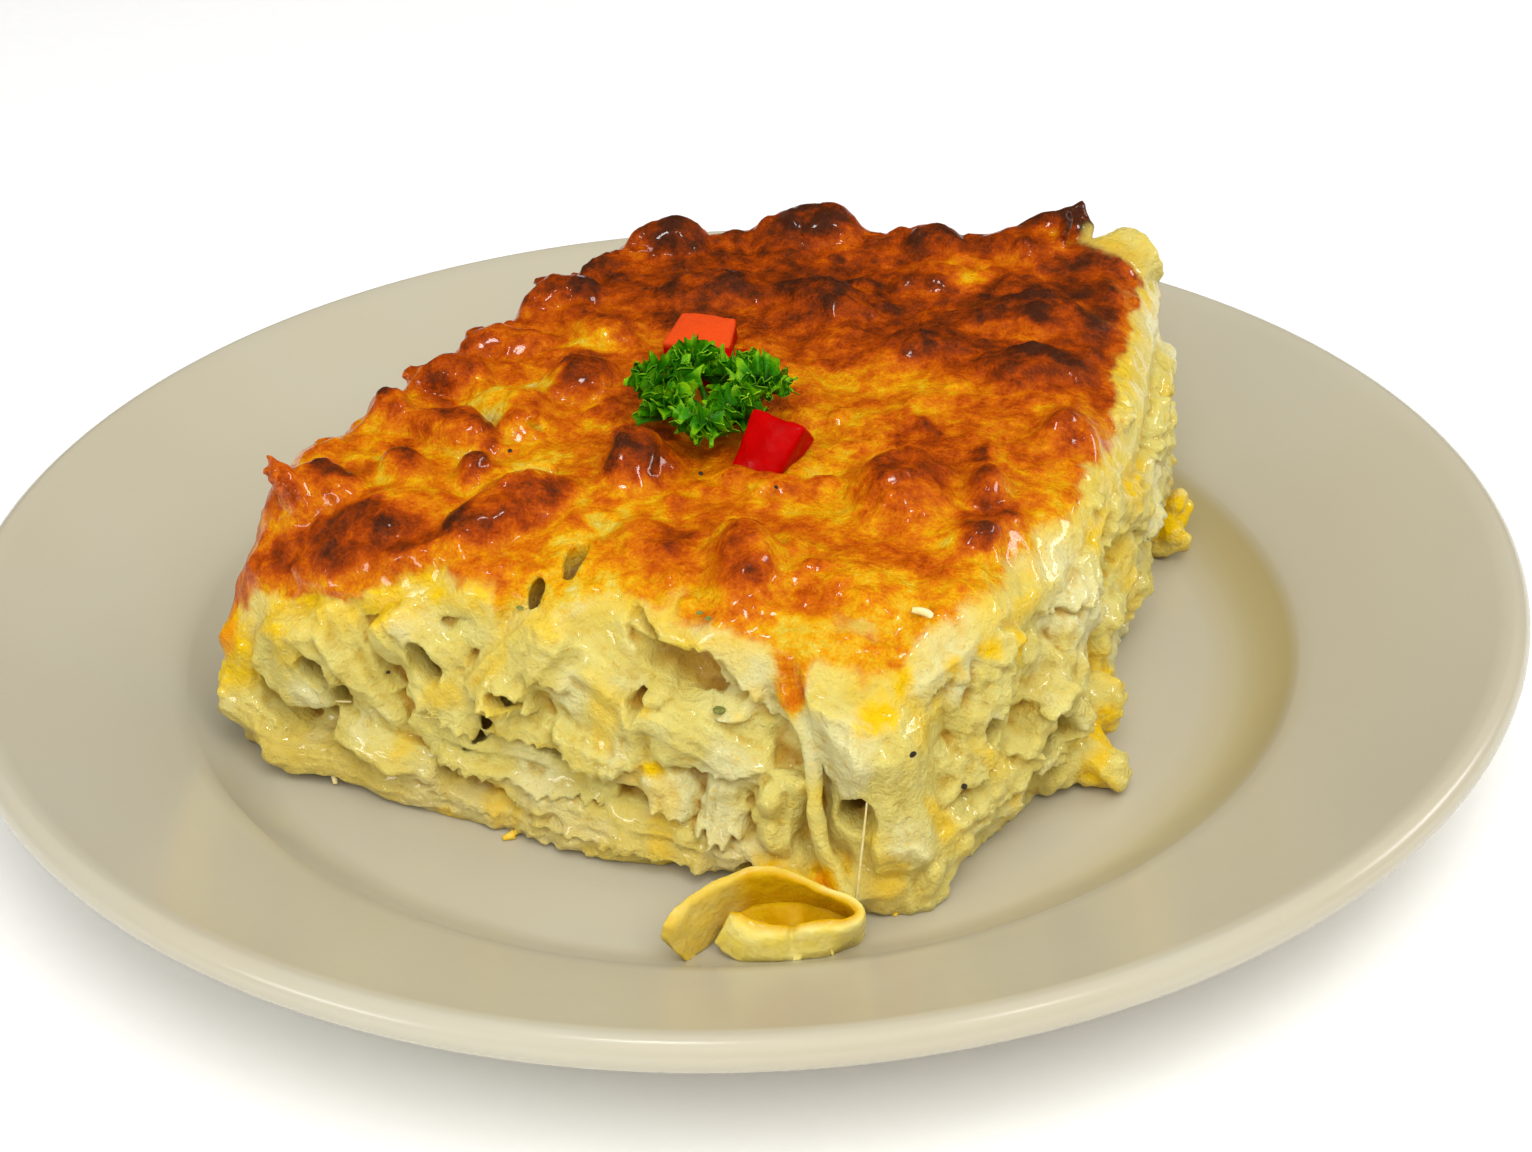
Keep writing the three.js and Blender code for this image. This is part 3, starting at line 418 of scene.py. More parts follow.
# On the left, up to this distance, whole tubes of pasta stand out of the crust
TUBES_REACH = 34

# Curds of cheese on the cut sides: first and last distance round the slab, greatest height, how many
CURD_BANDS = [(108, 232, 35, 1000), (232, 420, 30, 600), (62, 88, 12, 30), (0, 60, 8, 30)]

# The top falls this much towards the right edge
RIGHT_FALL = 3.5

# Pieces of pasta and cheese beside the slab's foot: x, y, height, half length, half width, half height, turn
LUMPS = [
    (111.5, 34.5, 4.0, 7, 4, 4.2, 60), (115.3, 36, 3.2, 5.4, 3.0, 3.3, -30),
    (113, 43, 7.2, 4.8, 3.4, 4.4, 40), (89.2, -4.8, 2.8, 5.8, 2.7, 2.9, 16),
    (35.6, -0.6, 1.2, 4, 2.2, 1.6, 0), (96.5, 1.2, 3, 6, 4.6, 3.4, -30),
]

# Lumps that stick to the right cut, in the same form
SIDE_LUMPS = [(108.4, 98.5, 4, 3.0, 2.0, 3.4, 0), (109, 101, 8, 2.0, 1.7, 2.8, 0)]

# Pointed bits of crust that stand up at the back corner and the front left corner: path and radii along it
HORNS = [
    ([(77.5, 117, 41), (80.8, 119.6, 44), (84.8, 122.4, 47.2)], (3.4, 2.9, 0.8)),
    ([(84, 118.5, 39.5), (85.6, 121.4, 43.5), (85.2, 122.6, 46.8)], (2.4, 1.8, 0.7)),
    ([(8, 11.5, 36.5), (4.6, 11.4, 40.6), (2.6, 11.2, 43.2)], (2.6, 1.5, 0.5)),
]

# Holes in the crust and under it: x, y, height and half sizes
CRUST_HOLES = [
    (51.3, 8.2, 36.5, 1.5, 3.4, 7.0), (48.0, 3.6, 33.4, 1.3, 2.8, 3.6), (50.7, 17.2, 41.0, 1.4, 1.1, 2.6),
    (37.8, 25.6, 41.0, 2.6, 1.8, 3.6), (31.5, 36.0, 40.5, 1.0, 0.7, 1.4), (110.4, 33.2, 8.8, 1.9, 1.7, 3.0),
]

# The thick string of cheese at the front corner
STRING = [(84.8, 0.4, 29.5), (88.2, -2.0, 24.3), (89.9, -3.6, 16.4), (91.6, -4.6, 9.6), (94.8, -4.8, 3.2)]
STRING_RADII = (1.4, 1.0, 0.95, 1.3, 1.6)

# The tube that stands out at the back corner: place, turn and lift, then length, height and width
CORNER_TUBE_POSE = ((91.6, 115.5, 38.8), 60, 14)
CORNER_TUBE_SIZES = (17, 9.5, 11)

# Tubes of pasta
TUBE_WALL = 1.9
BORE_DEPTH = 7.0
TUBE_BOW = 0.7
FLUTES = 14


def seeded(seed):
    """Even draws between -1 and 1, worked out as they are for the solids."""
    state = seed

    def draw():
        nonlocal state
        state = (state * 1664525 + 1013904223) % 4294967296
        return state / 4294967296 * 2 - 1
    return draw


def loose_rows(length, seed, clear):
    """Rows of pasta for a cut side that the photo doesn't show, in the form of FRONT_PASTA."""
    draw = seeded(seed)
    rows = []
    for level in LOOSE_LEVELS:
        along = LOOSE_START + 5 * draw()
        while along < length - clear:
            is_open = draw() > 0.55
            shift, lift, sink = 2 * draw(), 1.5 * draw(), 0.6 * draw()
            grow, lean = draw(), draw()
            place = (along + shift, level + lift)
            if is_open:
                rows.append((*place, 3, 12, 8.6 + grow, 8, 0, 78, 1))
            else:
                rows.append((*place, 1.8 + sink, 20 + 4 * grow, 8.6 + grow, 8, 26 * lean, 5 * lean, 0))
            along += LOOSE_SPACING
    return rows


class Outline:
    """The slab's plan outline, with the distance round it that each of its sides starts at."""

    def __init__(self):
        self.curves = {}
        self.starts = {}
        pieces = []
        start = 0
        sides = {"front": FRONT_EDGE, "right": RIGHT_EDGE, "back": BACK_EDGE, "left": LEFT_EDGE}
        for name, corners in sides.items():
            points, length = curve_points(corners, 60)
            self.curves[name] = (points, length)
            self.starts[name] = start
            pieces.append(points[:-1])
            start += length
        self.total = start
        self.points = np.vstack(pieces)

    def place(self, name, along):
        """The point at a distance along one side, and the side's heading there."""
        points, length = self.curves[name]
        share = np.clip(along / length, 0, 1) * (len(points) - 1)
        index = int(min(share, len(points) - 2))
        way = points[index + 1] - points[index]
        return points[index] + way * (share - index), math.atan2(way[1], way[0])

    def measure(self, x, y):
        """Signed distance to the outline, negative inside, and the distance round it of the nearest point."""
        start = self.points
        end = np.roll(start, -1, axis=0)
        length = np.linalg.norm(end - start, axis=1)
        before = np.concatenate([[0], np.cumsum(length)[:-1]])
        nearest = np.full(x.shape, 1e9)
        around = np.zeros(x.shape)
        inside = np.zeros(x.shape, bool)
        for (ax, ay), (bx, by), size, passed in zip(start, end, length, before):
            px, py = x - ax, y - ay
            ex, ey = bx - ax, by - ay
            share = np.clip((px * ex + py * ey) / size ** 2, 0, 1)
            gap = np.hypot(px - share * ex, py - share * ey)
            closer = gap < nearest
            nearest = np.where(closer, gap, nearest)
            around = np.where(closer, passed + share * size, around)
            crosses = (ay > y) != (by > y)
            with np.errstate(divide="ignore", invalid="ignore"):
                inside ^= crosses & (px < ex * (y - ay) / ey)
        return np.where(inside, -nearest, nearest), around


OUTLINE = Outline()


def bare_height(x, y):
    """Height of the crust without its bumps."""
    plateau = 38 + 3 * smooth(20, 110, y)
    front = 36 - 16 * np.exp(-np.maximum(x, 0) / 13) - 6 * np.exp(-np.maximum(SLAB_WIDTH - x, 0) / 9)
    forward = np.minimum(np.maximum(0, 1 - y / 20) ** 1.5, 1.1)
    return plateau - (plateau - front) * forward


def ellipse_reach(x, y, spot):
    """Distance from a turned ellipse's middle as a share of its size: spot is x, y, half sizes and turn."""
    middle_x, middle_y, long, wide, turn = spot
    angle = math.radians(turn)
    along = ((x - middle_x) * math.cos(angle) + (y - middle_y) * math.sin(angle)) / long
    across = ((y - middle_y) * math.cos(angle) - (x - middle_x) * math.sin(angle)) / wide
    return np.hypot(along, across)


def crust_height(x, y):
    """Height of the crust with its bumps, folds and blisters."""
    flat = np.stack([x.ravel(), y.ravel(), np.zeros(x.size)], 1)
    bend = [1.3 * noise(flat, 7, seed).reshape(x.shape) for seed in (1, 2)]
    bare = bare_height(x, y)
    top = bare
    for *spot, rise in BUMPS:
        reach = ellipse_reach(x + bend[0], y + bend[1], spot)
        mound = 1.04 / (1 + (reach / 0.9) ** 4)
        knob = np.maximum(0, 1 - (0.93 * reach) ** 2.2) ** 0.62
        sharp = 0.55 * (spot[0] < TUBES_REACH) * (spot[1] > 16)
        top = soft_max(top, bare + rise * (mound + sharp * (knob - mound)), 1.2)
    folds = layered(flat, 9, 3, 3).reshape(x.shape)
    ripples = layered(flat, 3.2, 4, 2).reshape(x.shape)
    return top + 0.8 * folds + 0.28 * ripples


def bare_right(around):
    """Where along the right side the top falls towards the edge, from 0 to 1."""
    begin = OUTLINE.starts["right"]
    end = OUTLINE.starts["back"]
    return smooth(begin + 8, begin + 40, around) * falling(end + 2, end + 12, around)


def edge_fall(edge, around):
    """How far the top falls towards the slab's edge."""
    rounding = 3.2 * np.clip(1 + edge / 5, 0, 1) ** 2
    return rounding + RIGHT_FALL * bare_right(around) * np.clip(1 + edge / 9, 0, 1)


BLISTERS = 520


def blisters(x, y):
    """Small bubbles of cheese, scattered over the crust."""
    draw = np.random.default_rng(BLISTER_SEED)
    rise = np.zeros(x.shape)
    for _ in range(BLISTERS):
        middle_x, middle_y = draw.uniform(0, 110), draw.uniform(3, 120)
        radius = draw.uniform(0.7, 2.0)
        height = radius * draw.uniform(0.18, 0.42)
        near_x = np.abs(x[:, 0] - middle_x) < radius
        near_y = np.abs(y[0] - middle_y) < radius
        if not (near_x.any() and near_y.any()):
            continue
        window = np.ix_(near_x, near_y)
        gap = ((x[window] - middle_x) ** 2 + (y[window] - middle_y) ** 2) / radius ** 2
        rise[window] = np.maximum(rise[window], height * np.maximum(0, 1 - gap) ** 0.7)
    return rise


class FaceMap:
    """How far the cut sides stand out from the slab's outline, by distance round it and height."""

    STEP = 0.25

    def __init__(self):
        self.around = np.arange(0, OUTLINE.total, self.STEP)
        self.height = np.arange(-2, 46, self.STEP)
        self.s, self.h = np.meshgrid(self.around, self.height, indexing="ij")
        flat = np.stack([self.s.ravel(), self.h.ravel(), np.zeros(self.s.size)], 1)
        shape = self.s.shape
        self.warp_s = layered(flat, 6, 1, 2).reshape(shape)
        self.warp_h = 0.8 * layered(flat, 5, 2, 2).reshape(shape)
        self.teeth = 0.7 * noise(flat * (1, 0.15, 1), TOOTH_PITCH, 3).reshape(shape)
        self.depth = np.zeros(shape)
        for row in FRONT_FLAPS:
            self.flap(*row)
        for row in self.random_flaps():
            self.flap(*row)
        for s, h, wide, high, reach, turn in LOBES:
            share = self.share(s, h, wide, high, turn)
            dome = reach * np.maximum(0, 1 - share ** 2) ** 0.6
            self.depth = soft_max(self.depth, dome, 0.5)
        for s, h, wide, high, reach, turn in FACE_HOLLOWS:
            share = self.share(s, h, wide, high, turn)
            self.depth = self.depth - (reach + 1.0) * np.maximum(0, 1 - share ** 3) ** 0.6
        self.curds()
        folds = layered(flat * (1, 1.5, 1), 7, 5, 3).reshape(shape)
        drips = layered(flat * (1, 0.25, 1), 4.5, 3, 2).reshape(shape)
        grit = layered(flat * (1, 1.3, 1), 2.0, 2, 2).reshape(shape)
        calm = falling(0.6, 1.15, ellipse_reach(self.s, self.h, CONE))
        self.depth = self.depth + (1 - calm) * (0.7 * folds + 0.16 * grit) + calm * (0.6 * drips + 1.6)

    def share(self, s, h, wide, high, turn):
        """Distance from a spot's middle as a share of its size, with an uneven outline."""
        return ellipse_reach(self.s + 0.7 * self.warp_s, self.h + 0.7 * self.warp_h, (s, h, wide, high, turn))

    def flap(self, s0, h0, s1, h1, sag, tall, reach, saw):
        """Raises one torn flap, with a crevice under its lower edge."""
        t = (self.s + 0.5 * self.warp_s - s0) / (s1 - s0)
        wave = np.abs(((self.s + self.warp_s) / TOOTH_PITCH) % 1 - 0.5) * 2 - 0.5
        edge = h0 + (h1 - h0) * t + sag * 4 * t * (1 - t) + saw * (wave + self.teeth) + 0.4 * self.warp_h
        up = (self.h - edge) / tall
        inside = (t > 0) & (t < 1)
        ends = np.where(inside, (1 - np.abs(2 * np.clip(t, 0, 1) - 1) ** 5) ** 0.5, 0)
        ribs = 1 - 0.12 * np.minimum(saw, 1) * np.cos(2 * math.pi * (self.s + self.warp_s) / TOOTH_PITCH)
        raised = reach * ends * ribs * np.maximum(0, 1 - np.clip(up, 0, 1)) ** 0.85
        groove = CREVICE * ends * np.exp(-np.abs(up) * tall / 0.9)
        self.depth = np.where((up >= 0) & (up <= 1), np.maximum(self.depth, raised), self.depth)
        self.depth = np.where(up < 0, self.depth - groove, self.depth)

    def random_flaps(self):
        """Flaps on the other cut sides, in the form of FRONT_FLAPS."""
        draw = np.random.default_rng(FLAP_SEED)
        rows = []
        begin = OUTLINE.starts["right"] + 11
        for _ in range(SIDE_FLAPS):
            s = draw.uniform(begin, OUTLINE.total - 4)
            h = draw.uniform(1, 32)
            length = draw.uniform(7, 20)
            lean = draw.uniform(-0.45, 0.45)
            if s + length > OUTLINE.total - 2:
                continue
            rows.append((s, h, s + length, h + lean * length, draw.uniform(-1.5, 0.6), draw.uniform(3, 7),
                         draw.uniform(0.7, 1.8), draw.uniform(0.1, 0.8)))
        return rows

    def curds(self):
        """Raises small domes all over the cut sides."""
        draw = np.random.default_rng(CURD_SEED)
        rise = np.zeros(self.s.shape)
        for first, last, top, count in CURD_BANDS:
            for _ in range(count):
                s, h = draw.uniform(first, last), draw.uniform(0.5, top)
                radius = draw.uniform(0.6, 2.0)
                high = radius * draw.uniform(0.6, 1.1)
                reach = radius * draw.uniform(0.2, 0.45)
                near_s = np.abs(self.around - s) < radius + 1
                near_h = np.abs(self.height - h) < high + 1
                window = np.ix_(near_s, near_h)
                gap = (((self.s[window] + 0.4 * self.warp_s[window] - s) / radius) ** 2
                       + ((self.h[window] + 0.4 * self.warp_h[window] - h) / high) ** 2)
                rise[window] = np.maximum(rise[window], reach * np.maximum(0, 1 - gap) ** 0.5)
        self.depth = self.depth + rise

    def at(self, s, h):
        """The relief at any distance round the slab and height, between the map's points."""
        i = np.clip((s / self.STEP), 0, len(self.around) - 1.001)
        j = np.clip((h + 2) / self.STEP, 0, len(self.height) - 1.001)
        i0, j0 = i.astype(int), j.astype(int)
        u, v = i - i0, j - j0
        d = self.depth
        return ((1 - u) * (1 - v) * d[i0, j0] + u * (1 - v) * d[i0 + 1, j0]
                + (1 - u) * v * d[i0, j0 + 1] + u * v * d[i0 + 1, j0 + 1])


class Volume:
    """Signed distances on a voxel grid, negative inside."""

    def __init__(self):
        self.size = np.ceil((GRID_HIGH - GRID_LOW) / PITCH).astype(int) + 1
        self.axes = [GRID_LOW[axis] + PITCH * np.arange(self.size[axis]) for axis in range(3)]
        self.field = None

    def window(self, low, high):
        """The part of the grid inside a box, as slices and coordinates."""
        first = np.clip(np.floor((np.asarray(low) - GRID_LOW) / PITCH).astype(int), 0, self.size - 1)
        last = np.clip(np.ceil((np.asarray(high) - GRID_LOW) / PITCH).astype(int) + 1, 1, self.size)
        cut = tuple(slice(a, b) for a, b in zip(first, last))
        grid = np.meshgrid(*[self.axes[axis][cut[axis]] for axis in range(3)], indexing="ij")
        return cut, grid

    def shape_in_box(self, matrix, half, distance, change):
        """Changes the field by a shape in its own frame, whose box is given by its half sizes."""
        corners = moved(matrix, (2 * CORNERS - 1) * (np.array(half) + 3))
        cut, (x, y, z) = self.window(corners.min(0), corners.max(0))
        if x.size == 0:
            return
        back = matrix.inverted()
        turn = np.array(back.to_3x3())
        shift = np.array(back.translation)
        local = [turn[row, 0] * x + turn[row, 1] * y + turn[row, 2] * z + shift[row] for row in range(3)]
        self.field[cut] = change(self.field[cut], distance(*local))

    def add(self, matrix, half, distance, width):
        self.shape_in_box(matrix, half, distance, lambda old, new: soft_min(old, new, width))

    def cut(self, matrix, half, distance, width):
        self.shape_in_box(matrix, half, distance, lambda old, new: soft_max(old, -new, width))


def ellipse_distance(y, z, deep, high):
    """About how far points are outside an ellipse with the given half sizes."""
    ratio = np.hypot(y / deep, z / high)
    steep = np.hypot(y / deep ** 2, z / high ** 2)
    return np.where(ratio > 1e-6, ratio * (ratio - 1) / np.maximum(steep, 1e-6), -min(deep, high))


def tube_distance(length, high, deep, bow, flute=0.16):
    """A bowed and fluted tube of pasta with ragged ends, along X."""
    def distance(x, y, z):
        lift = bow * (1 - (2 * x / length) ** 2)
        around = np.arctan2((z - lift) / high, (y - lift) / deep)
        side = ellipse_distance(y - lift, z - lift, deep / 2, high / 2) - flute * np.cos(FLUTES * around)
        ragged = 0.3 * np.cos(3 * around + length) + 0.12 * np.cos(11 * around)
        return soft_max(side, np.abs(x) - length / 2 + ragged, 1.0)
    return distance


def bore_distance(length, high, deep):
    """The uneven hollow in a tube's near end."""
    def distance(x, y, z):
        around = np.arctan2(z, y)
        side = ellipse_distance(y, z, deep / 2 - TUBE_WALL, high / 2 - TUBE_WALL)
        side = side + 0.6 * np.cos(3 * around + length) + 0.35 * np.cos(5 * around + high)
        return np.maximum(side, x + length / 2 - BORE_DEPTH + 1)
    return distance


def ellipsoid_distance(sizes):
    def distance(x, y, z):
        ratio = np.sqrt((x / sizes[0]) ** 2 + (y / sizes[1]) ** 2 + (z / sizes[2]) ** 2)
        return (ratio - 1) * min(sizes)
    return distance


def place_pasta(side, along, height, depth, lean, turn):
    """Where a tube lies: its place along a side, its height and depth, and its lean and turn in degrees."""
    (x, y), heading = OUTLINE.place(side, along)
    return (Matrix.Translation((x, y, 0)) @ Matrix.Rotation(heading, 4, "Z")
            @ Matrix.Translation((0, depth, height)) @ Matrix.Rotation(-math.radians(lean), 4, "Y")
            @ Matrix.Rotation(math.radians(turn), 4, "Z"))


def chain_gap(x, y, z, path, radii):
    """Distances from the links of a chain of round bars, one after another."""
    path = np.array(path, float)
    gaps = []
    for start, end, thick, thin in zip(path, path[1:], radii, radii[1:]):
        way = end - start
        share = ((x - start[0]) * way[0] + (y - start[1]) * way[1] + (z - start[2]) * way[2]) / (way @ way)
        share = np.clip(share, 0, 1)
        gaps.append(np.sqrt((x - start[0] - share * way[0]) ** 2 + (y - start[1] - share * way[1]) ** 2
                            + (z - start[2] - share * way[2]) ** 2) - (thick + share * (thin - thick)))
    return np.minimum.reduce(gaps)


def capsule_chain(volume, path, radii, width):
    """Adds a chain of round bars to the volume."""
    low, high = np.min(path, axis=0) - 4, np.max(path, axis=0) + 4
    cut, (x, y, z) = volume.window(low, high)
    volume.field[cut] = soft_min(volume.field[cut], chain_gap(x, y, z, path, radii), width)


# Curds for each millimetre of a lump's half length, and where they sit between its middle and its surface
CURDS_PER_MM = 9
CURD_PLACE = 0.9


def curds():
    """Small crumbly lumps that stick to the pieces of cheese beside the slab."""
    draw = np.random.default_rng(LUMP_CURD_SEED)
    rows = []
    for x, y, height, long, wide, high, turn in LUMPS + SIDE_LUMPS:
        angle = math.radians(turn)
        for _ in range(int(CURDS_PER_MM * long)):
            way = draw.normal(size=3)
            way /= np.linalg.norm(way)
            way *= CURD_PLACE
            along, across = way[0] * long, way[1] * wide
            rows.append((x + along * math.cos(angle) - across * math.sin(angle),
                         y + along * math.sin(angle) + across * math.cos(angle),
                         max(0.6, height + way[2] * high), draw.uniform(0.6, 1.5)))
    return rows


def flake_distance(length, width):
    """A curled flake that gets thinner and narrower along X."""
    def distance(x, y, z):
        share = np.clip((x + 0.6 * length) / (1.6 * length), 0, 1)
        half = width / 2 * (1 - 0.62 * share) + 0.35 * np.cos(4.1 * x)
        curl = 0.035 * x * np.abs(x) + 0.04 * y * y
        thick = 1.25 - 0.75 * share
        flat = np.maximum(np.abs(z - curl) - thick, np.abs(y) - half)
        return soft_max(flat, np.maximum(x - length, -x - 0.6 * length), 0.8)
    return distance


def slab_core(volume, edge, top):
    """The slab's body between its outline and its crust, and how far each cell is over the crust."""
    slope = np.gradient(top, PITCH)
    steep = np.sqrt(1 + slope[0] ** 2 + slope[1] ** 2)
    z = volume.axes[2][None, None]
    over_crust = (z - top[..., None]) / steep[..., None]
    inset = 1.5 + 0.8 * np.sin(np.clip(z / 34, 0, 1) * math.pi)
    volume.field = soft_max(edge[..., None] + inset, over_crust, 2.2).astype(np.float32)
    return over_crust


def add_pasta(volume):
    """Tubes in the cut sides. The bores of the open ones are given back, to be cut later."""
    rows = {
        "front": (FRONT_PASTA, 11), "right": (RIGHT_PASTA, 12),
        "back": (loose_rows(86, seed=9, clear=31), 13), "left": (loose_rows(98, seed=20, clear=32), 14),
    }
    bores = []
    for side, (pasta, seed) in rows.items():
        draw = seeded(seed)
        for along, height, depth, length, high, deep, lean, turn, is_open in pasta:
            matrix = place_pasta(side, along, height, depth, lean, turn)
            half = (length / 2, deep / 2, high / 2)
            volume.add(matrix, half, tube_distance(length, high, deep, TUBE_BOW * draw()), 1.4)
            if is_open:
                bores.append((matrix, half, bore_distance(length, high, deep)))
    return bores


def add_faces(volume, edge, around, top, over_crust):
    """The relief of the cut sides, which fades out inside the slab and towards the crust."""
    faces = FaceMap()
    near = np.abs(edge) < FACE_REACH
    s = np.broadcast_to(around[near][:, None], (near.sum(), len(volume.axes[2])))
    h = np.broadcast_to(volume.axes[2][None], s.shape)
    share = smooth(-9, -5, edge[near])[:, None] * falling(-3.5, -0.5, h - top[near][:, None])
    volume.field[near] -= (faces.at(s, h) * share).astype(np.float32)
    volume.field = soft_max(volume.field, over_crust.astype(np.float32), 0.8)


def add_lip(volume, x, y, edge, over_crust):
    """The crust's thin edge over the cut sides, which is missing where the front cut is bare."""
    lip = np.maximum(np.abs(over_crust + 1.0) - 1.0, edge[..., None] + 0.2)
    bare = 3 * (smooth(42, 48, x) * falling(100, 104, x) * falling(3, 6, y))[..., None].astype(np.float32)
    volume.field = soft_min(volume.field, lip.astype(np.float32) + bare, 0.8)


def add_lumps(volume):
    """Flakes of the crust's edge, lumps beside the foot and the tube at the back corner."""
    for *place, turn, lift, length, width in FLAKES:
        volume.add(posed(place, turn, lift), (length, width / 2, 3), flake_distance(length, width), 0.8)
    for *place, long, wide, high, turn in LUMPS + SIDE_LUMPS:
        sizes = (long, wide, high)
        volume.add(posed(place, turn), sizes, ellipsoid_distance(sizes), 1.0)
    long, high, wide = CORNER_TUBE_SIZES
    volume.add(posed(*CORNER_TUBE_POSE), (long / 2, wide / 2, high / 2),
               tube_distance(long, high, wide, TUBE_BOW, 0.04), 1.6)


def cut_plate(volume, x, y):
    """Takes away what would be inside the plate."""
    on_plate = moved(SLAB_TO_PLATE, np.stack([x.ravel(), y.ravel(), np.zeros(x.size)], 1))
    floor = plate_top(np.hypot(on_plate[:, 0], on_plate[:, 1])).reshape(x.shape) - FLOOR_HEIGHT + 0.1
    over_plate = volume.axes[2][None, None] - floor[..., None]
    volume.field = np.maximum(volume.field, -over_plate.astype(np.float32))


def gratin_volume():
    volume = Volume()
    x, y = np.meshgrid(volume.axes[0], volume.axes[1], indexing="ij")
    edge, around = OUTLINE.measure(x, y)
    top = crust_height(x, y) + blisters(x, y) - edge_fall(edge, around)
    over_crust = slab_core(volume, edge, top)
    bores = add_pasta(volume)
    add_faces(volume, edge, around, top, over_crust)
    add_lip(volume, x, y, edge, over_crust)
    add_lumps(volume)
    for matrix, half, distance in bores:
        volume.cut(matrix, half, distance, 0.6)
    for *place, long, wide, high in CRUST_HOLES:
        sizes = (long, wide, high)
        volume.cut(Matrix.Translation(place), sizes, ellipsoid_distance(sizes), 0.8)
    for path, radii in HORNS:
        capsule_chain(volume, path, radii, 1.5)
    for *place, radius in curds():
        sizes = (radius,) * 3
        volume.add(Matrix.Translation(place), sizes, ellipsoid_distance(sizes), 0.5)
    capsule_chain(volume, STRING, STRING_RADII, 1.0)
    cut_plate(volume, x, y)
    return volume


CELL_EDGES = [(p, q) for p in range(8) for q in range(p + 1, 8) if abs(CORNERS[p] - CORNERS[q]).sum() == 1]


def surface_net(field):
    """Points, in cells, and four-cornered faces of the surface where a field crosses zero."""
    inside = field < 0
    shape = np.array(field.shape)
    cells = shape - 1
    count = np.zeros(cells, np.uint8)
    for i, j, k in CORNERS:
        count += inside[i:i + cells[0], j:j + cells[1], k:k + cells[2]]
    places = np.argwhere((count > 0) & (count < 8))
    number = np.full(cells, -1, np.int32)
    number[tuple(places.T)] = np.arange(len(places))
    values = np.stack([field[tuple((places + corner).T)] for corner in CORNERS], 1)
    total = np.zeros((len(places), 3))
    hits = np.zeros(len(places))
    for p, q in CELL_EDGES:
        first, second = values[:, p], values[:, q]
        crosses = (first < 0) != (second < 0)
        share = np.where(crosses, first / np.where(crosses, first - second, 1), 0)
        total += np.where(crosses[:, None], CORNERS[p] + share[:, None] * (CORNERS[q] - CORNERS[p]), 0)
        hits += crosses
    points = places + total / hits[:, None]
    faces = []
    for axis in range(3):
        u, v = (axis + 1) % 3, (axis + 2) % 3
        low = np.take(inside, range(shape[axis] - 1), axis)
        high = np.take(inside, range(1, shape[axis]), axis)
        at = np.argwhere(low != high)
        keep = (at[:, u] > 0) & (at[:, v] > 0) & (at[:, u] < shape[u] - 1) & (at[:, v] < shape[v] - 1)
        at = at[keep]
        step_u, step_v = np.eye(3, dtype=int)[u], np.eye(3, dtype=int)[v]
        corners = [at, at - step_u, at - step_u - step_v, at - step_v]
        quads = np.stack([number[tuple(corner.T)] for corner in corners], 1)
        outward = inside[tuple(at.T)]
        faces.append(np.where(outward[:, None], quads, quads[:, ::-1]))
    return points, np.concatenate(faces)


# Half sizes, in cells, of the cubes that hollows are measured with
HOLLOW_RADII = {"crevice": 3, "valley": 9}


def concavity(field, points, radius):
    """How deep in a hollow each point lies, from the share of solid in the cube of cells round it."""
    share = (field < 0).astype(np.float32)
    for axis in range(3):
        total = np.cumsum(share, axis=axis, dtype=np.float32)
        total = np.concatenate([np.zeros_like(np.take(total, [0], axis)), total], axis)
        size = field.shape[axis]
        high = np.minimum(np.arange(size) + radius + 1, size)
        low = np.maximum(np.arange(size) - radius, 0)
        share = (np.take(total, high, axis) - np.take(total, low, axis)) / (high - low).reshape(
            [-1 if other == axis else 1 for other in range(3)])
    cell = np.clip(((points - GRID_LOW) / PITCH).round().astype(int), 0, np.array(field.shape) - 1)
    return share[tuple(cell.T)] - 0.5


def largest_body(points, faces):
    """Only the faces that hang together with the most others."""
    label = np.arange(len(points))
    edges = np.concatenate([faces[:, [0, 1]], faces[:, [1, 2]], faces[:, [2, 3]], faces[:, [3, 0]]])
    while True:
        lowest = np.minimum(label[edges[:, 0]], label[edges[:, 1]])
        fresh = label.copy()
        np.minimum.at(fresh, edges[:, 0], lowest)
        np.minimum.at(fresh, edges[:, 1], lowest)
        fresh = fresh[fresh]
        fresh = fresh[fresh]
        if np.array_equal(fresh, label):
            break
        label = fresh
    kept = np.bincount(label[faces[:, 0]]).argmax()
    faces = faces[label[faces[:, 0]] == kept]
    used = np.unique(faces)
    renumber = np.full(len(points), -1)
    renumber[used] = np.arange(len(used))
    return points[used], renumber[faces]


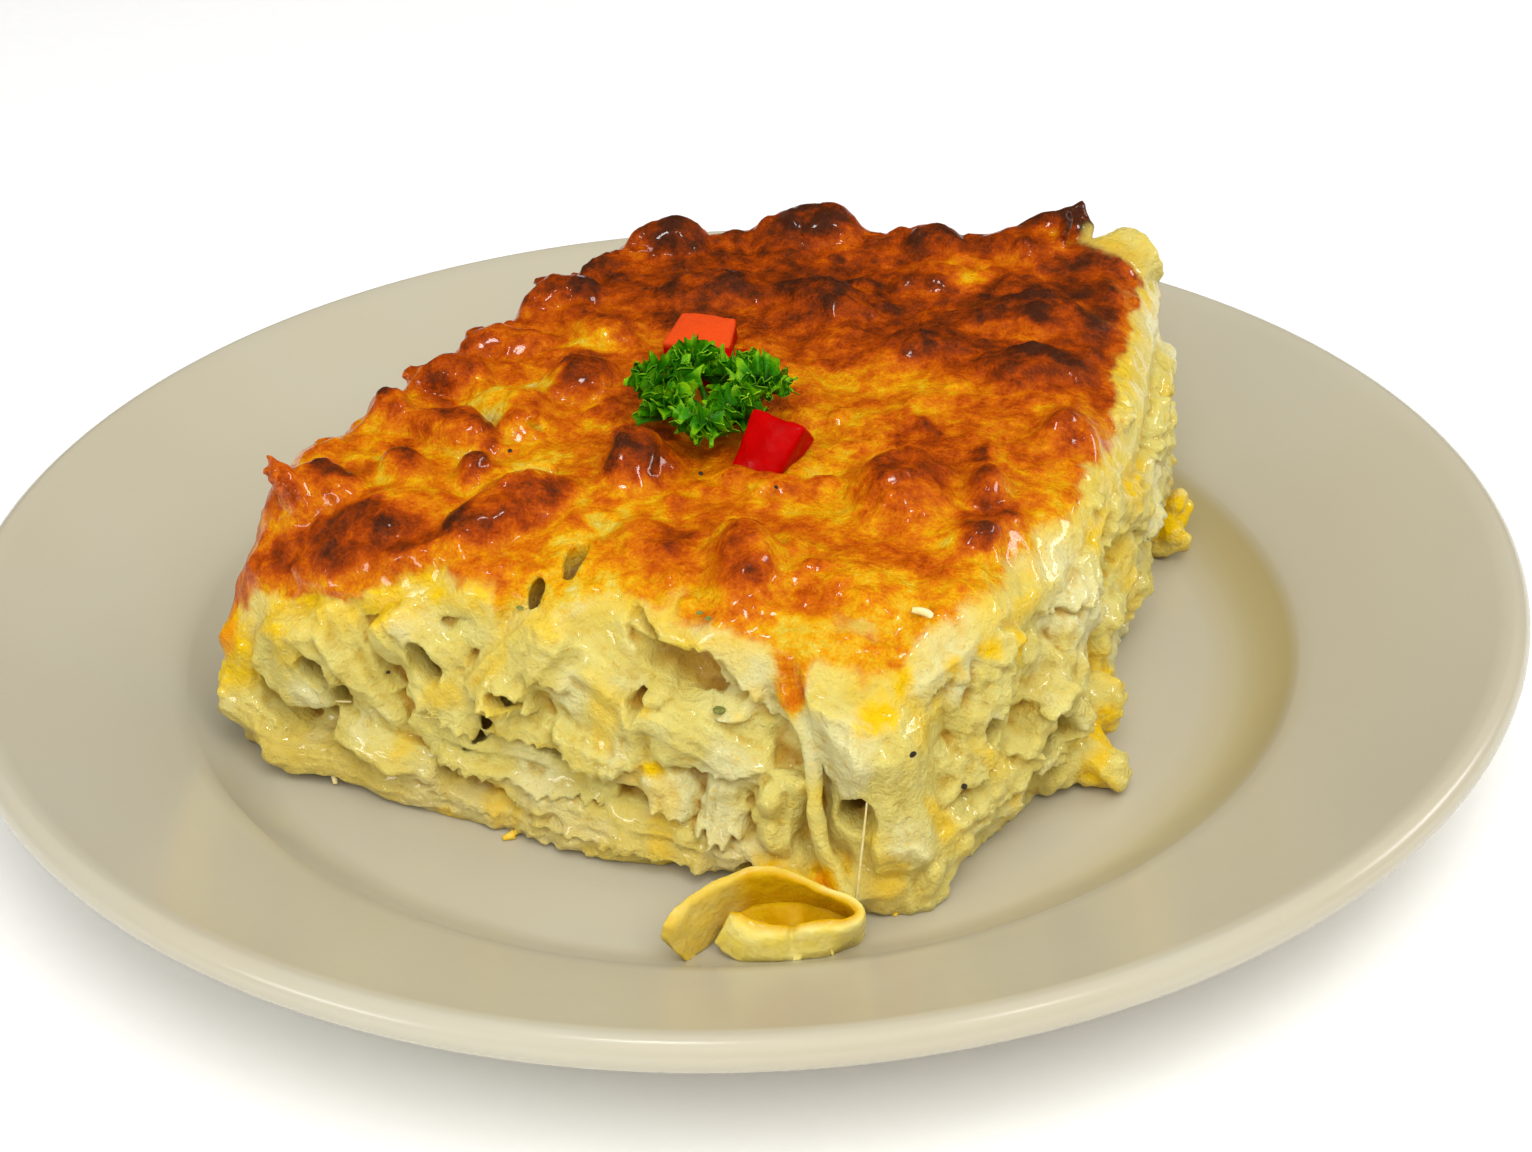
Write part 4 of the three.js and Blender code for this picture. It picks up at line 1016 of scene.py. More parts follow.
# Browning of the crust: x, y, half length, half width, turn in degrees, how brown from 0 to 1, strength
TOAST_SPOTS = [
    (52, 91, 10, 8, -20, 0.9, 0.8), (66, 90, 6, 7, 0, 0.88, 0.7), (88, 96, 12, 7, 12, 0.88, 0.8),
    (97, 112, 5, 4, 0, 0.92, 0.7), (17, 81, 4, 7, 0, 0.88, 0.6), (22, 102, 6, 9, 20, 0.86, 0.6),
    (35, 75, 4, 4, 0, 0.9, 0.6), (40, 92, 13, 12, 0, 0.86, 0.5), (72, 103, 7, 7, 60, 0.58, 0.8),
    (73, 101, 3, 4, 60, 0.36, 0.8), (87, 86, 7, 2.4, 15, 0.5, 0.7), (66, 98, 4, 8, 10, 0.64, 0.6),
    (52, 104, 9, 5, 0, 0.7, 0.4), (80, 111, 6, 6, 0, 0.62, 0.7), (102, 101, 3.4, 10, -12, 0.46, 0.8),
    (39, 117, 5, 4, 0, 0.28, 0.9), (46, 114, 6, 4, 0, 0.66, 0.6), (93, 76, 8, 6, 20, 0.82, 0.9),
    (92, 79, 3.5, 2.4, 0, 0.98, 0.9), (74, 62, 12, 8, 0, 0.46, 0.7), (82, 66, 4, 3, 0, 0.24, 0.7),
    (70, 66, 5, 4, 0, 0.4, 0.6), (92, 60, 10, 8, 0, 0.55, 0.5), (103, 62, 4, 5, 0, 0.68, 0.6),
    (84, 71, 16, 3, 8, 0.5, 0.5), (73, 46, 6, 13, 10, 0.38, 0.85), (75, 37, 6, 4, 0, 0.32, 0.6),
    (86, 42, 7, 10, 105, 0.72, 0.9), (84, 52, 4, 4, 0, 0.84, 0.8), (86, 38, 4, 4, 0, 0.8, 0.6),
    (88, 27, 9, 3, -20, 0.42, 0.6),
    (94, 50, 2.4, 3, 0, 0.92, 0.8), (96, 43, 3, 3, 0, 0.85, 0.7), (99, 47, 5, 4, 0, 0.4, 0.6),
    (102, 32, 5, 8, 30, 0.8, 0.85), (50, 35, 7, 7, 0, 0.7, 0.8), (47, 40, 4.5, 3.5, 0, 0.86, 0.9),
    (50, 29, 4.5, 2.4, 0, 0.82, 0.9), (57, 44, 7, 4, 0, 0.7, 0.5), (40, 60, 8, 14, 0, 0.68, 0.6),
    (39.5, 15, 9, 4, 62, 0.76, 0.9), (35, 9, 6, 4, 20, 0.72, 0.8), (74, 13, 8, 5, 108, 0.62, 0.9),
    (72, 21, 3, 2.4, 0, 0.86, 0.8), (75, 14, 3, 3, 0, 0.72, 0.6), (61, 17, 8, 4, 120, 0.68, 0.85),
    (60, 11, 7, 2, 10, 0.68, 0.8), (55, 22, 4, 8, 20, 0.36, 0.8), (66, 27, 9, 5, 0, 0.5, 0.5),
    (94, 21, 10, 2.4, -20, 0.6, 0.8), (82, 16, 8, 5, 0, 0.36, 0.8), (80, 7, 5, 3, 0, 0.5, 0.7),
    (86, 9, 7, 2, -40, 0.6, 0.6), (92, 14, 8, 5, 0, 0.24, 0.85),
    (20, 7, 14, 4.5, 6, 0.82, 0.9), (8, 5, 8, 3, 20, 0.84, 0.9), (30, 8, 6, 4, 20, 0.8, 0.8),
    (16, 30, 17, 18, 0, 0.42, 0.75), (19, 33.5, 7, 2.8, -8, 0.8, 0.9), (28, 26, 2.6, 4.8, 15, 0.82, 0.9),
    (18, 21.5, 3.4, 3, 0, 0.8, 0.9), (15, 27.5, 3, 2.4, -30, 0.78, 0.8), (10, 16, 4.4, 3, 20, 0.82, 0.9),
    (14, 41, 5.4, 2.6, -25, 0.8, 0.9), (3, 43, 1.8, 1.8, 0, 1.0, 1), (8, 36, 2.2, 2, 0, 0.8, 0.8),
    (15, 50, 4, 6, 0, 0.62, 0.7), (13, 64, 5, 5, 0, 0.64, 0.6), (24, 72, 7, 4, -40, 0.8, 0.7),
    (30.5, 52, 5.5, 7, 75, 0.82, 0.9), (28, 59, 4, 3, 0, 0.9, 0.7), (23.5, 43, 5, 10, -35, 0.2, 0.95),
    (37, 27, 4.5, 7, 20, 0.22, 0.9), (26, 64, 6, 3, -30, 0.34, 0.8), (32, 34, 4, 3, 0, 0.3, 0.8),
    (57, 12, 5, 8, 20, 0.34, 0.8), (54, 2, 9, 5.5, 0, 0.03, 0.95), (51, 8, 3.4, 5, 0, 0.06, 0.9),
    (51, 17, 3.4, 2.8, 0, 0.1, 0.9),
    (67, 5, 7, 3, 0, 0.18, 0.9), (88, 1, 9, 5, 0, 0.2, 0.9),
]

# Bright yellow cheese on the cut sides: distance round the slab, height, half sizes, turn, strength
CHEESE_SPOTS = [
    (2, 17, 6, 7, 0, 1.0), (5.1, 15, 2.5, 2, 0, 0.7), (12.1, 24.5, 4, 1.6, 15, 1.0),
    (29.1, 31, 5.5, 3, 20, 0.9),
    (37.6, 33.5, 1.2, 2.8, -35, 1.0), (69.6, 17.2, 1.8, 1.2, 0, 1.0), (68.6, 25, 1.4, 1.2, 0, 0.7),
    (71.1, 13, 2.4, 3.4, 0, 0.45), (100.1, 29.5, 3.0, 2.0, 0, 1.0), (104, 32, 2.2, 3.2, -20, 1.0),
    (117.5, 32.5, 1.5, 1.6, 0, 1.0), (122, 31, 1.0, 4.2, 8, 1.0), (109, 27, 1.0, 3.0, 0, 0.6),
    (106.5, 13, 1.6, 6, 20, 0.7), (38.1, 0.4, 2.8, 1.6, 0, 0.8), (49, 22, 3, 2, 0, 0.5),
    (45.1, 21, 1.0, 1.0, 0, 0.9), (36.6, 16.6, 2.4, 0.8, 0, 0.7), (54.6, 15, 4, 1, -16, 0.5),
    (112, 31, 1.8, 3.0, 0, 0.9), (116, 16, 2, 4, 30, 0.6), (128, 33, 5, 2, 0, 0.7), (152, 33, 6, 3, 0, 0.95),
    (170, 31, 7, 4, 0, 0.95), (181, 30, 4, 7, 0, 0.7), (163, 24, 3, 5, 20, 0.5), (150, 12, 4, 3, 0, 0.5),
    (187, 15, 5, 4, 0, 0.5), (201, 25, 4, 6, 0, 0.6), (210, 10, 6, 4, 0, 0.5), (135, 9, 2.5, 2, 0, 0.6),
]

# Bright yellow cheese beside the slab's foot: middle and radius
CHEESE_LUMPS = [(109.5, 98.5, 8, 5.6), (115.4, 39.5, 5.5, 5.0), (117, 34.5, 3.4, 3.8), (113, 46, 9, 3.2)]

# Orange cheese: middle and radius
ORANGE_LUMPS = [(86.5, -5.6, 3.4, 4.6), (91.5, -4.6, 3.6, 4.4), (35.6, -1, 0.6, 3.2), (85.2, 0, 29, 2.4),
                (-1.8, 1, 19, 5)]

# Lower edge of the browned crust on the front cut: distance along it, height
FRONT_BROWN_EDGE = [
    (-4, 19), (0, 22.5), (7.6, 26.5), (12.6, 27.5), (20.6, 29.5), (23.6, 29), (26.6, 31.5), (32.6, 35.5),
    (40.6, 37), (44.6, 36.5), (46.6, 32.5), (49.1, 34.5), (52.6, 38.5), (58.6, 48), (83.6, 48), (85.6, 31),
    (89.1, 29), (91.1, 34), (93.6, 44), (103, 44),
]
SIDE_BROWN_DEPTH = 2.6

# Where along the front the crust's edge rises to pale and to yellow cheese, and falls back
PALE_FRONT = ((46, 49), (60, 66))
YELLOW_FRONT = ((58, 64), (98, 103))

# Where the browned crust runs down onto the string of cheese: x and height
BROWN_TIP = (85.3, 31)

# The pasta at the back corner that has no crust: x, y, half sizes and turn
BARE_TUBE = (95, 119.5, 8.5, 6, 15)

# How far inside the slab's outline the browned crust ends: distance round the slab, distance inside
BARE_EDGE = [(0, -6), (89.1, -6), (91.1, 1.5), (95.6, 4.0), (104, 4.2), (118, 3.4), (222, 3.6), (234, -6),
             (500, -6)]


class Skin:
    """What the colours at points of the slab's surface are worked out from."""

    def __init__(self, points, hollow):
        self.points = points
        self.hollow = hollow
        self.x, self.y, self.z = points.T
        self.bend_x = 1.6 * layered(points, 7, 2)
        self.bend_y = 1.6 * layered(points, 7, 3)
        self.edge, self.around = OUTLINE.measure(self.x, self.y)
        self.crown = bare_height(self.x, self.y)
        self.on_front = (self.around < OUTLINE.starts["right"]) & (self.y < 12)
        self.corner = smooth(76, 86, self.x) * falling(36, 52, self.y)
        self.patches = 4 * layered(points, 6, 0)
        self.tube = self.reach(0.5, BARE_TUBE)
        self.string = falling(0.5, 1.2, chain_gap(*points.T, STRING, STRING_RADII))

    def reach(self, bend, spot):
        return ellipse_reach(self.x + bend * self.bend_x, self.y + bend * self.bend_y, spot)

    def above_edge(self):
        """Height above the lower edge of the browned crust, on the front cut and on the others."""
        wavy = 1.3 * layered(self.points, 5, 4) + 0.5 * noise(self.points, 1.4, 1)
        brown_edge = np.interp(self.around, *np.array(FRONT_BROWN_EDGE).T)
        fallen = self.crown - edge_fall(self.edge, self.around) - SIDE_BROWN_DEPTH
        brown_edge = np.where(self.on_front, np.minimum(brown_edge, self.crown), fallen)
        inward = -self.edge - np.interp(self.around, *np.array(BARE_EDGE).T) + 1.2 * wavy
        return np.minimum(self.z - brown_edge + wavy, inward)

    def toast(self, above):
        """How brown the crust is: its spots, veins and hollows, then the paler parts near its edge."""
        x, y, z, points = self.x, self.y, self.z, self.points
        toast = 0.47 + 0.07 * smooth(20, 50, y) + 0.28 * smooth(64, 82, y + 2 * self.bend_y)
        for *spot, brown, strength in TOAST_SPOTS:
            toast = blend(toast, brown, strength * falling(0.55, 1.3, self.reach(1, spot)))
        bend = np.stack([self.bend_x, self.bend_y, self.bend_x], 1)
        veins = 0.35 - np.abs(layered(points + bend, 8, 4))
        raised = np.clip(z - self.crown, -3, 8)
        toast = toast + 0.012 * (raised - 2) + 0.11 * layered(points, 3.2, 1) + 0.3 * veins
        toast = toast - np.clip(0.6 * self.hollow["valley"], -0.07, 0.2)
        toast = toast - np.clip(0.4 * self.hollow["crevice"], -0.05, 0.1)
        pale_front = falling(1.0, 5, y + self.bend_y) * between(*PALE_FRONT, x)
        toast = toast * (1 - 0.85 * pale_front)
        yellow_front = falling(0.5, 5, y + 0.7 * self.bend_y) * between(*YELLOW_FRONT, x)
        toast = blend(toast, 0.3, 0.7 * yellow_front)
        toast = blend(toast, 0.21, 0.9 * self.corner * falling(3, 11, -self.edge + self.patches))
        toast = blend(toast, 0.42, 0.5 * falling(0.5, 4, above))
        tip = falling(2, 5, np.hypot(x - BROWN_TIP[0], z - BROWN_TIP[1]))
        return blend(toast, 0.46, 0.9 * tip * (y < 6))

    def crust(self, above):
        """Where the crust is, which is everywhere inside the edge but for the bare tube."""
        crust = smooth(-0.2 - 0.5 * self.corner, 0.35 + 0.5 * self.corner, above)
        crust = np.where((self.edge < -9) & (self.z > 30), 1, crust)
        return crust * smooth(0.9, 1.05, self.tube)

    def cheese(self, above):
        """Yellow cheese: the band under the crust, spots on the cuts, stray patches, lumps and the string."""
        points = self.points
        front_left = falling(36, 46, self.x)
        band = 0.75 + 0.4 * front_left * self.on_front
        width = 2.0 + 0.9 * front_left * self.on_front
        below = np.clip(-above, 0, 20)
        cheese = band * np.exp(-((below - 0.6) / width) ** 2) * (0.85 + 0.4 * layered(points, 6, 5, 2))
        cheese = cheese * (1 - 0.4 * self.corner) * (1 - 0.7 * falling(1.0, 1.35, self.tube))
        s = np.where(self.around > OUTLINE.total - 12, self.around - OUTLINE.total, self.around)
        for *spot, strength in CHEESE_SPOTS:
            reach = ellipse_reach(s + self.bend_x * 0.5, self.z + self.bend_y * 0.5, spot)
            cheese = np.maximum(cheese, strength * falling(0.5, 1.25, reach))
        cheese = np.maximum(cheese, 0.5 * smooth(0.45, 0.8, layered(points, 8, 4, 2)))
        for lump in CHEESE_LUMPS:
            cheese = np.maximum(cheese, falling(0.6, 1.1, self.gap(lump) + 0.35 * noise(points, 3, 3)))
        for lump in ORANGE_LUMPS:
            cheese = np.maximum(cheese, falling(0.8, 1.2, self.orange_gap(lump)))
        cheese = np.maximum(cheese, 0.8 * self.string * smooth(-0.2, 0.8, noise(points, 3.5, 2)))
        return np.clip(cheese, 0, 1)

    def gap(self, lump):
        """Distance from a lump's middle as a share of its radius."""
        x, y, z, radius = lump
        return np.sqrt((self.x - x) ** 2 + (self.y - y) ** 2 + (self.z - z) ** 2) / radius

    def orange_gap(self, lump):
        return self.gap(lump) + 0.25 * noise(self.points, 2.5, 3)

    def deep(self, crust):
        """Painted shade: darker inside the slab, in crevices and low on the front cut, where shade falls."""
        inside = smooth(1.5, 6.5, -self.edge) * (1 - crust)
        deep = np.maximum(inside, smooth(0.04, 0.18, self.hollow["crevice"]))
        return np.maximum(deep, 0.5 * falling(4, 13, self.z) * self.on_front) * (1 - self.string)

    def hollow_shade(self, crust):
        """Painted shade: an amber darkening inside holes and hollows, and deep inside the slab under the
        crust.
        """
        hollow_shade = smooth(0.16, 0.28, self.hollow["valley"])
        hollow_shade = np.maximum(hollow_shade, smooth(0.17, 0.3, self.hollow["crevice"]))
        inside = 0.9 * smooth(2.8, 5.5, -self.edge) * smooth(1.5, 3.5, self.crown - self.z) * (1 - crust)
        return np.maximum(hollow_shade * (1 - self.string), inside * (1 - self.string))


def crust_colours(points, hollow):
    """Shares that drive the gratin's material, at points of the slab frame."""
    skin = Skin(points, hollow)
    above = skin.above_edge()
    toast = skin.toast(above)
    above = above + 0.55 * skin.corner * skin.patches
    crust = skin.crust(above)
    orange = np.maximum.reduce([falling(0.4, 0.95, skin.orange_gap(lump)) for lump in ORANGE_LUMPS])
    # The deep share and the share for hollows are painted shade; the other shares are the food's own colours.
    return {"toast": toast, "crust": crust, "cheese": skin.cheese(above), "orange": orange,
            "cream": smooth(0.0, 0.6, layered(points, 9, 1)), "hollow_shade": skin.hollow_shade(crust),
            "deep": skin.deep(crust), "char": smooth(0.93, 1.02, toast)}


def gratin_piece():
    volume = gratin_volume()
    points, faces = surface_net(volume.field)
    points, faces = largest_body(points, faces)
    points = GRID_LOW + PITCH * points
    hollow = {name: concavity(volume.field, points, radius) for name, radius in HOLLOW_RADII.items()}
    shake = np.stack([0.75 * noise(points, 6.5, seed) + 0.3 * layered(points, 2.6, seed + 1, 2)
                      for seed in (0, 2, 4)], 1)
    resting = smooth(0.2, 1.2, points[:, 2])[:, None]
    piece = mesh_object("gratin", moved(SLAB_TO_PLATE, points + shake * resting), faces)
    for name, values in {**hollow, **crust_colours(points, hollow)}.items():
        set_attribute(piece, name, values)
    decimate = piece.modifiers.new("lighter", "DECIMATE")
    decimate.ratio = GRATIN_FACES / (2 * len(faces))
    apply_modifiers(piece)
    return piece


# Materials

# Where the mix node has its sockets for colours
FACTOR_SOCKET = 0
FIRST_COLOUR = 6
SECOND_COLOUR = 7
MIXED_COLOUR = 2


class Shader:
    """A material's node tree, with short calls for the nodes that the materials here share."""

    def __init__(self, name):
        self.material = bpy.data.materials.new(name)
        self.material.use_nodes = True
        self.nodes = self.material.node_tree.nodes
        self.links = self.material.node_tree.links
        self.shader = self.nodes["Principled BSDF"]

    def set(self, **values):
        for name, value in values.items():
            self.shader.inputs[name.replace("_", " ")].default_value = value

    def link(self, source, target):
        self.links.new(source, target)

    def attribute(self, name):
        node = self.nodes.new("ShaderNodeAttribute")
        node.attribute_name = name
        return node.outputs["Fac"]

    def noise(self, size, detail=3.0, roughness=0.55):
        """Noise with lumps of a size in millimetres."""
        node = self.nodes.new("ShaderNodeTexNoise")
        node.inputs["Scale"].default_value = 1 / (size * MM)
        node.inputs["Detail"].default_value = detail
        node.inputs["Roughness"].default_value = roughness
        self.link(self.nodes.new("ShaderNodeTexCoord").outputs["Object"], node.inputs["Vector"])
        return node.outputs["Fac"]

    def feed(self, socket, value):
        """Gives a socket a colour or a number, or links it to the socket that the value comes from."""
        if isinstance(value, tuple):
            socket.default_value = (*value, 1)
        elif isinstance(value, (int, float)):
            socket.default_value = value
        else:
            self.link(value, socket)

    def math(self, kind, first, second, clamp=False):
        node = self.nodes.new("ShaderNodeMath")
        node.operation = kind
        node.use_clamp = clamp
        self.feed(node.inputs[0], first)
        self.feed(node.inputs[1], second)
        return node.outputs[0]

    def spread(self, value, low, high, to_low=0.0, to_high=1.0):
        node = self.nodes.new("ShaderNodeMapRange")
        for name, number in (("From Min", low), ("From Max", high), ("To Min", to_low), ("To Max", to_high)):
            node.inputs[name].default_value = number
        self.link(value, node.inputs["Value"])
        return node.outputs["Result"]

    def ramp(self, value, stops):
        node = self.nodes.new("ShaderNodeValToRGB")
        band = node.color_ramp
        for place, colour in stops[2:]:
            band.elements.new(place)
        for element, (place, colour) in zip(band.elements, sorted(stops)):
            element.position = place
            element.color = (*colour, 1)
        self.link(value, node.inputs["Fac"])
        return node.outputs["Color"]

    def mix(self, share, first, second, kind="MIX"):
        node = self.nodes.new("ShaderNodeMix")
        node.data_type = "RGBA"
        node.blend_type = kind
        for socket, value in ((FACTOR_SOCKET, share), (FIRST_COLOUR, first), (SECOND_COLOUR, second)):
            self.feed(node.inputs[socket], value)
        return node.outputs[MIXED_COLOUR]

    def clouds(self, size, detail=3, low=0.35, high=0.65):
        """Noise with more contrast: from 0 to 1 between two of its levels."""
        return self.spread(self.noise(size, detail), low, high)

    def tinted(self, colour, share, factor, tint):
        """A colour with some of a tint, by a share times a factor."""
        return self.mix(self.math("MULTIPLY", share, factor), colour, tint)

    def colour(self, source):
        self.link(source, self.shader.inputs["Base Color"])

    def roughness(self, size, detail, low, high):
        """A roughness that wanders between two values."""
        self.link(self.spread(self.noise(size, detail), 0.3, 0.7, low, high), self.shader.inputs["Roughness"])

    def moist(self, depth, share, glow, film, film_roughness=0.03, shine=0.1):
        """A share of the light that goes a depth in millimetres under the surface, and a wet film on it."""
        self.set(Subsurface_Weight=share, Subsurface_Scale=depth * MM, Subsurface_Radius=glow)
        self.set(Coat_Weight=film, Coat_Roughness=film_roughness, Specular_IOR_Level=shine)

    def bump(self, *layers):
        """Bump layers, each a height source and a depth in millimetres."""
        normal = None
        for height, depth in layers:
            node = self.nodes.new("ShaderNodeBump")
            node.inputs["Distance"].default_value = depth * MM
            self.link(height, node.inputs["Height"])
            if normal:
                self.link(normal, node.inputs["Normal"])
            normal = node.outputs["Normal"]
        self.link(normal, self.shader.inputs["Normal"])


def srgb(red, green, blue):
    """A colour as it looks on screen, from 0 to 255, turned into the linear values that shaders take."""
    shares = [value / 255 for value in (red, green, blue)]
    return tuple(share / 12.92 if share <= 0.04045 else ((share + 0.055) / 1.055) ** 2.4
                 for share in shares)


# Colours of the crust by how brown it is, with the two ends first
TOAST_COLOURS = [
    (0.0, srgb(214, 200, 140)), (1.0, srgb(78, 34, 12)), (0.16, srgb(214, 184, 56)), (0.3, srgb(218, 158, 0)),
    (0.44, srgb(208, 120, 0)), (0.58, srgb(190, 88, 0)), (0.72, srgb(160, 62, 0)), (0.86, srgb(122, 46, 4)),
]


def gratin_material():
    shader = Shader("gratin")
    toast = shader.attribute("toast")
    grain = shader.spread(shader.noise(2.0, 4, 0.6), 0.3, 0.7, -0.13, 0.13)
    fine = shader.spread(shader.noise(0.45, 2), 0.3, 0.7, -0.055, 0.055)
    toast = shader.math("ADD", shader.math("ADD", toast, grain), fine)
    brown = shader.ramp(toast, TOAST_COLOURS)
    brown = shader.tinted(brown, shader.attribute("char"), 0.4, srgb(52, 30, 22))
    pasta = shader.mix(shader.clouds(5), srgb(214, 202, 120), srgb(208, 190, 98))
    pasta = shader.tinted(pasta, shader.attribute("cream"), 0.8, srgb(216, 210, 158))
    # Painted shade: the deep share turns pasta in crevices, inside the slab and low on the front cut a darker
    # amber.
    pasta = shader.tinted(pasta, shader.attribute("deep"), 0.5, srgb(196, 160, 50))
    pasta = shader.tinted(pasta, shader.clouds(1.1, 2, 0.6, 0.72), 0.4, srgb(222, 184, 56))
    cheese = shader.math("MULTIPLY", shader.attribute("cheese"), shader.clouds(2.4, 3, 0.15, 0.5), True)
    pasta = shader.mix(cheese, pasta, srgb(228, 188, 0))
    pasta = shader.mix(shader.attribute("orange"), pasta, srgb(228, 150, 0))
    crust = shader.attribute("crust")
    whole = shader.mix(crust, pasta, brown)
    # Painted shade: holes and hollows are darkened towards amber.
    whole = shader.tinted(whole, shader.attribute("hollow_shade"), 0.6, srgb(184, 130, 36))
    # Painted shade: the deep share darkens the whole colour again with a warm multiply.
    shade = shader.math("MULTIPLY", shader.attribute("deep"), 0.58)
    shader.colour(shader.mix(shade, whole, (0.88, 0.76, 0.42), "MULTIPLY"))
    shader.roughness(1.3, 3, 0.3, 0.5)
    shader.moist(2.6, 0.4, glow=(1.0, 0.75, 0.4), film=0.5, film_roughness=0.09)
    rough = shader.spread(crust, 0.0, 1.0, 0.9, 1.0)
    fine = shader.math("MULTIPLY", shader.noise(0.5, 3, 0.6), rough)
    wrinkles = shader.math("MULTIPLY", shader.noise(1.4, 3), rough)
    shader.bump((fine, 0.36), (wrinkles, 0.6))
    return shader.material


def plate_material():
    shader = Shader("plate_glaze")
    base = shader.mix(shader.clouds(60, 2), srgb(184, 178, 158), srgb(182, 174, 152))
    # Painted shade and painted reflection of the food on the well's wall at the right.
    base = shader.mix(shader.attribute("painted_well_shade"), base, srgb(168, 152, 96))
    shader.colour(shader.tinted(base, shader.clouds(1.1, 2, 0.66, 0.74), 0.12, srgb(170, 158, 130)))
    shader.roughness(25, 3, 0.2, 0.27)
    shader.set(Specular_IOR_Level=0.4)
    shader.bump((shader.noise(14, 2), 0.05))
    return shader.material


def ring_material():
    shader = Shader("cooked_pasta")
    pale = shader.mix(shader.clouds(3), srgb(218, 196, 84), srgb(224, 210, 126))
    inside = shader.mix(shader.clouds(2), srgb(206, 164, 12), srgb(200, 150, 4))
    # The deeper yellow goes on the inner side and the film, and on the free arm as painted shade.
    shader.colour(shader.mix(shader.attribute("inner"), pale, inside))
    shader.roughness(1.2, 3, 0.22, 0.4)
    shader.moist(1.5, 0.15, glow=(1.0, 0.65, 0.2), film=0.2, film_roughness=0.12)
    shader.bump((shader.noise(0.8, 3), 0.15), (shader.noise(2.6, 2), 0.35))
    return shader.material


def pepper_material():
    shader = Shader("red_pepper")
    skin = shader.mix(shader.clouds(3.5, 3, 0.35, 0.68), srgb(178, 0, 0), srgb(160, 0, 0))
    shader.colour(shader.mix(shader.attribute("flesh"), skin, srgb(214, 74, 24)))
    shader.roughness(0.8, 2, 0.3, 0.42)
    shader.moist(1.0, 0.15, glow=(1.0, 0.12, 0.08), film=0.06, film_roughness=0.12, shine=0.03)
    shader.bump((shader.noise(0.5, 2), 0.06), (shader.noise(2.6, 2), 0.25))
    return shader.material


def leaf_material():
    shader = Shader("parsley_leaf")
    patch = shader.spread(shader.noise(1.8, 3), 0.3, 0.7, -0.2, 0.2)
    # The tip share paints light and shade: lighter green towards lobe tips, darker at feet, in notches and
    # underneath.
    share = shader.math("ADD", shader.attribute("tip"), patch, True)
    greens = [(0.0, srgb(14, 56, 0)), (1.0, srgb(140, 196, 14)), (0.5, srgb(54, 132, 2))]
    shader.colour(shader.ramp(share, greens))
    shader.set(Roughness=0.42)
    shader.moist(1.0, 0.1, glow=(0.3, 1.0, 0.1), film=0.08, shine=0.2)
    shader.bump((shader.noise(0.5, 2), 0.12))
    return shader.material


def plain_material(name, colour, other, roughness, size=1.0):
    """A two-toned finish for small bits."""
    shader = Shader(name)
    shader.colour(shader.mix(shader.clouds(size, 2), colour, other))
    shader.set(Roughness=roughness)
    shader.bump((shader.noise(0.4, 2), 0.08))
    return shader.material


# Plate

def plate_profile():
    """Radius and height down the plate's face, round its roll and back underneath to the middle."""
    face = np.concatenate([np.linspace(0, FLOOR_RADIUS, 16), np.linspace(FLOOR_RADIUS, CREASE_RADIUS, 16)[1:],
                           np.linspace(CREASE_RADIUS, PLATE_RADIUS - ROLL_RADIUS, 14)[1:]])
    rows = list(zip(face, plate_top(face)))
    roll = PLATE_RADIUS - ROLL_RADIUS
    roll_height = RIM_TOP - ROLL_RADIUS
    for angle in np.linspace(math.pi / 2, -0.6 * math.pi, 14)[1:]:
        rows.append((roll + ROLL_RADIUS * math.cos(angle), roll_height + ROLL_RADIUS * math.sin(angle)))
    for radius in np.linspace(roll - 4, CREASE_RADIUS, 8):
        rows.append((radius, float(plate_top(radius)) - PLATE_WALL))
    rows += [(FOOT_RADIUS + FOOT_DEPTH, FOOT_DEPTH + 0.1), (FOOT_RADIUS + 0.5, 0.35), (FOOT_RADIUS, 0),
             (FOOT_RADIUS - FOOT_WIDTH, 0), (FOOT_RADIUS - FOOT_WIDTH - 0.5, 0.35),
             (FOOT_RADIUS - FOOT_WIDTH - FOOT_DEPTH, FOOT_DEPTH), (0, FOOT_DEPTH)]
    return np.array(rows)


def plate_piece():
    rows = plate_profile()
    angle = np.linspace(0, 2 * math.pi, PLATE_SEGMENTS, endpoint=False)
    rings = rows[1:-1]
    points = np.stack([np.outer(rings[:, 0], np.cos(angle)), np.outer(rings[:, 0], np.sin(angle)),
                       np.repeat(rings[:, 1:], PLATE_SEGMENTS, axis=1)], -1).reshape(-1, 3)
    points = np.vstack([points, [(0, 0, rows[0][1]), (0, 0, rows[-1][1])]])
    piece = mesh_object("plate_glazed", points, closed_strip_faces(len(rings), PLATE_SEGMENTS))
    radius = np.hypot(points[:, 0], points[:, 1])
    # Painted shade and painted reflection of the food: the well's wall on the right, beside the slab, is
    # darker and warmer.
    wall = smooth(FLOOR_RADIUS - 8, FLOOR_RADIUS + 5, radius)
    wall = wall * falling(CREASE_RADIUS - 2, CREASE_RADIUS, radius)
    towards_right = np.clip(points[:, 0] / np.maximum(radius, 1), 0, 1)
    set_attribute(piece, "painted_well_shade", 0.75 * wall * towards_right * (points[:, 2] > FOOT_DEPTH + 3))
    return piece


# Loose ring of macaroni

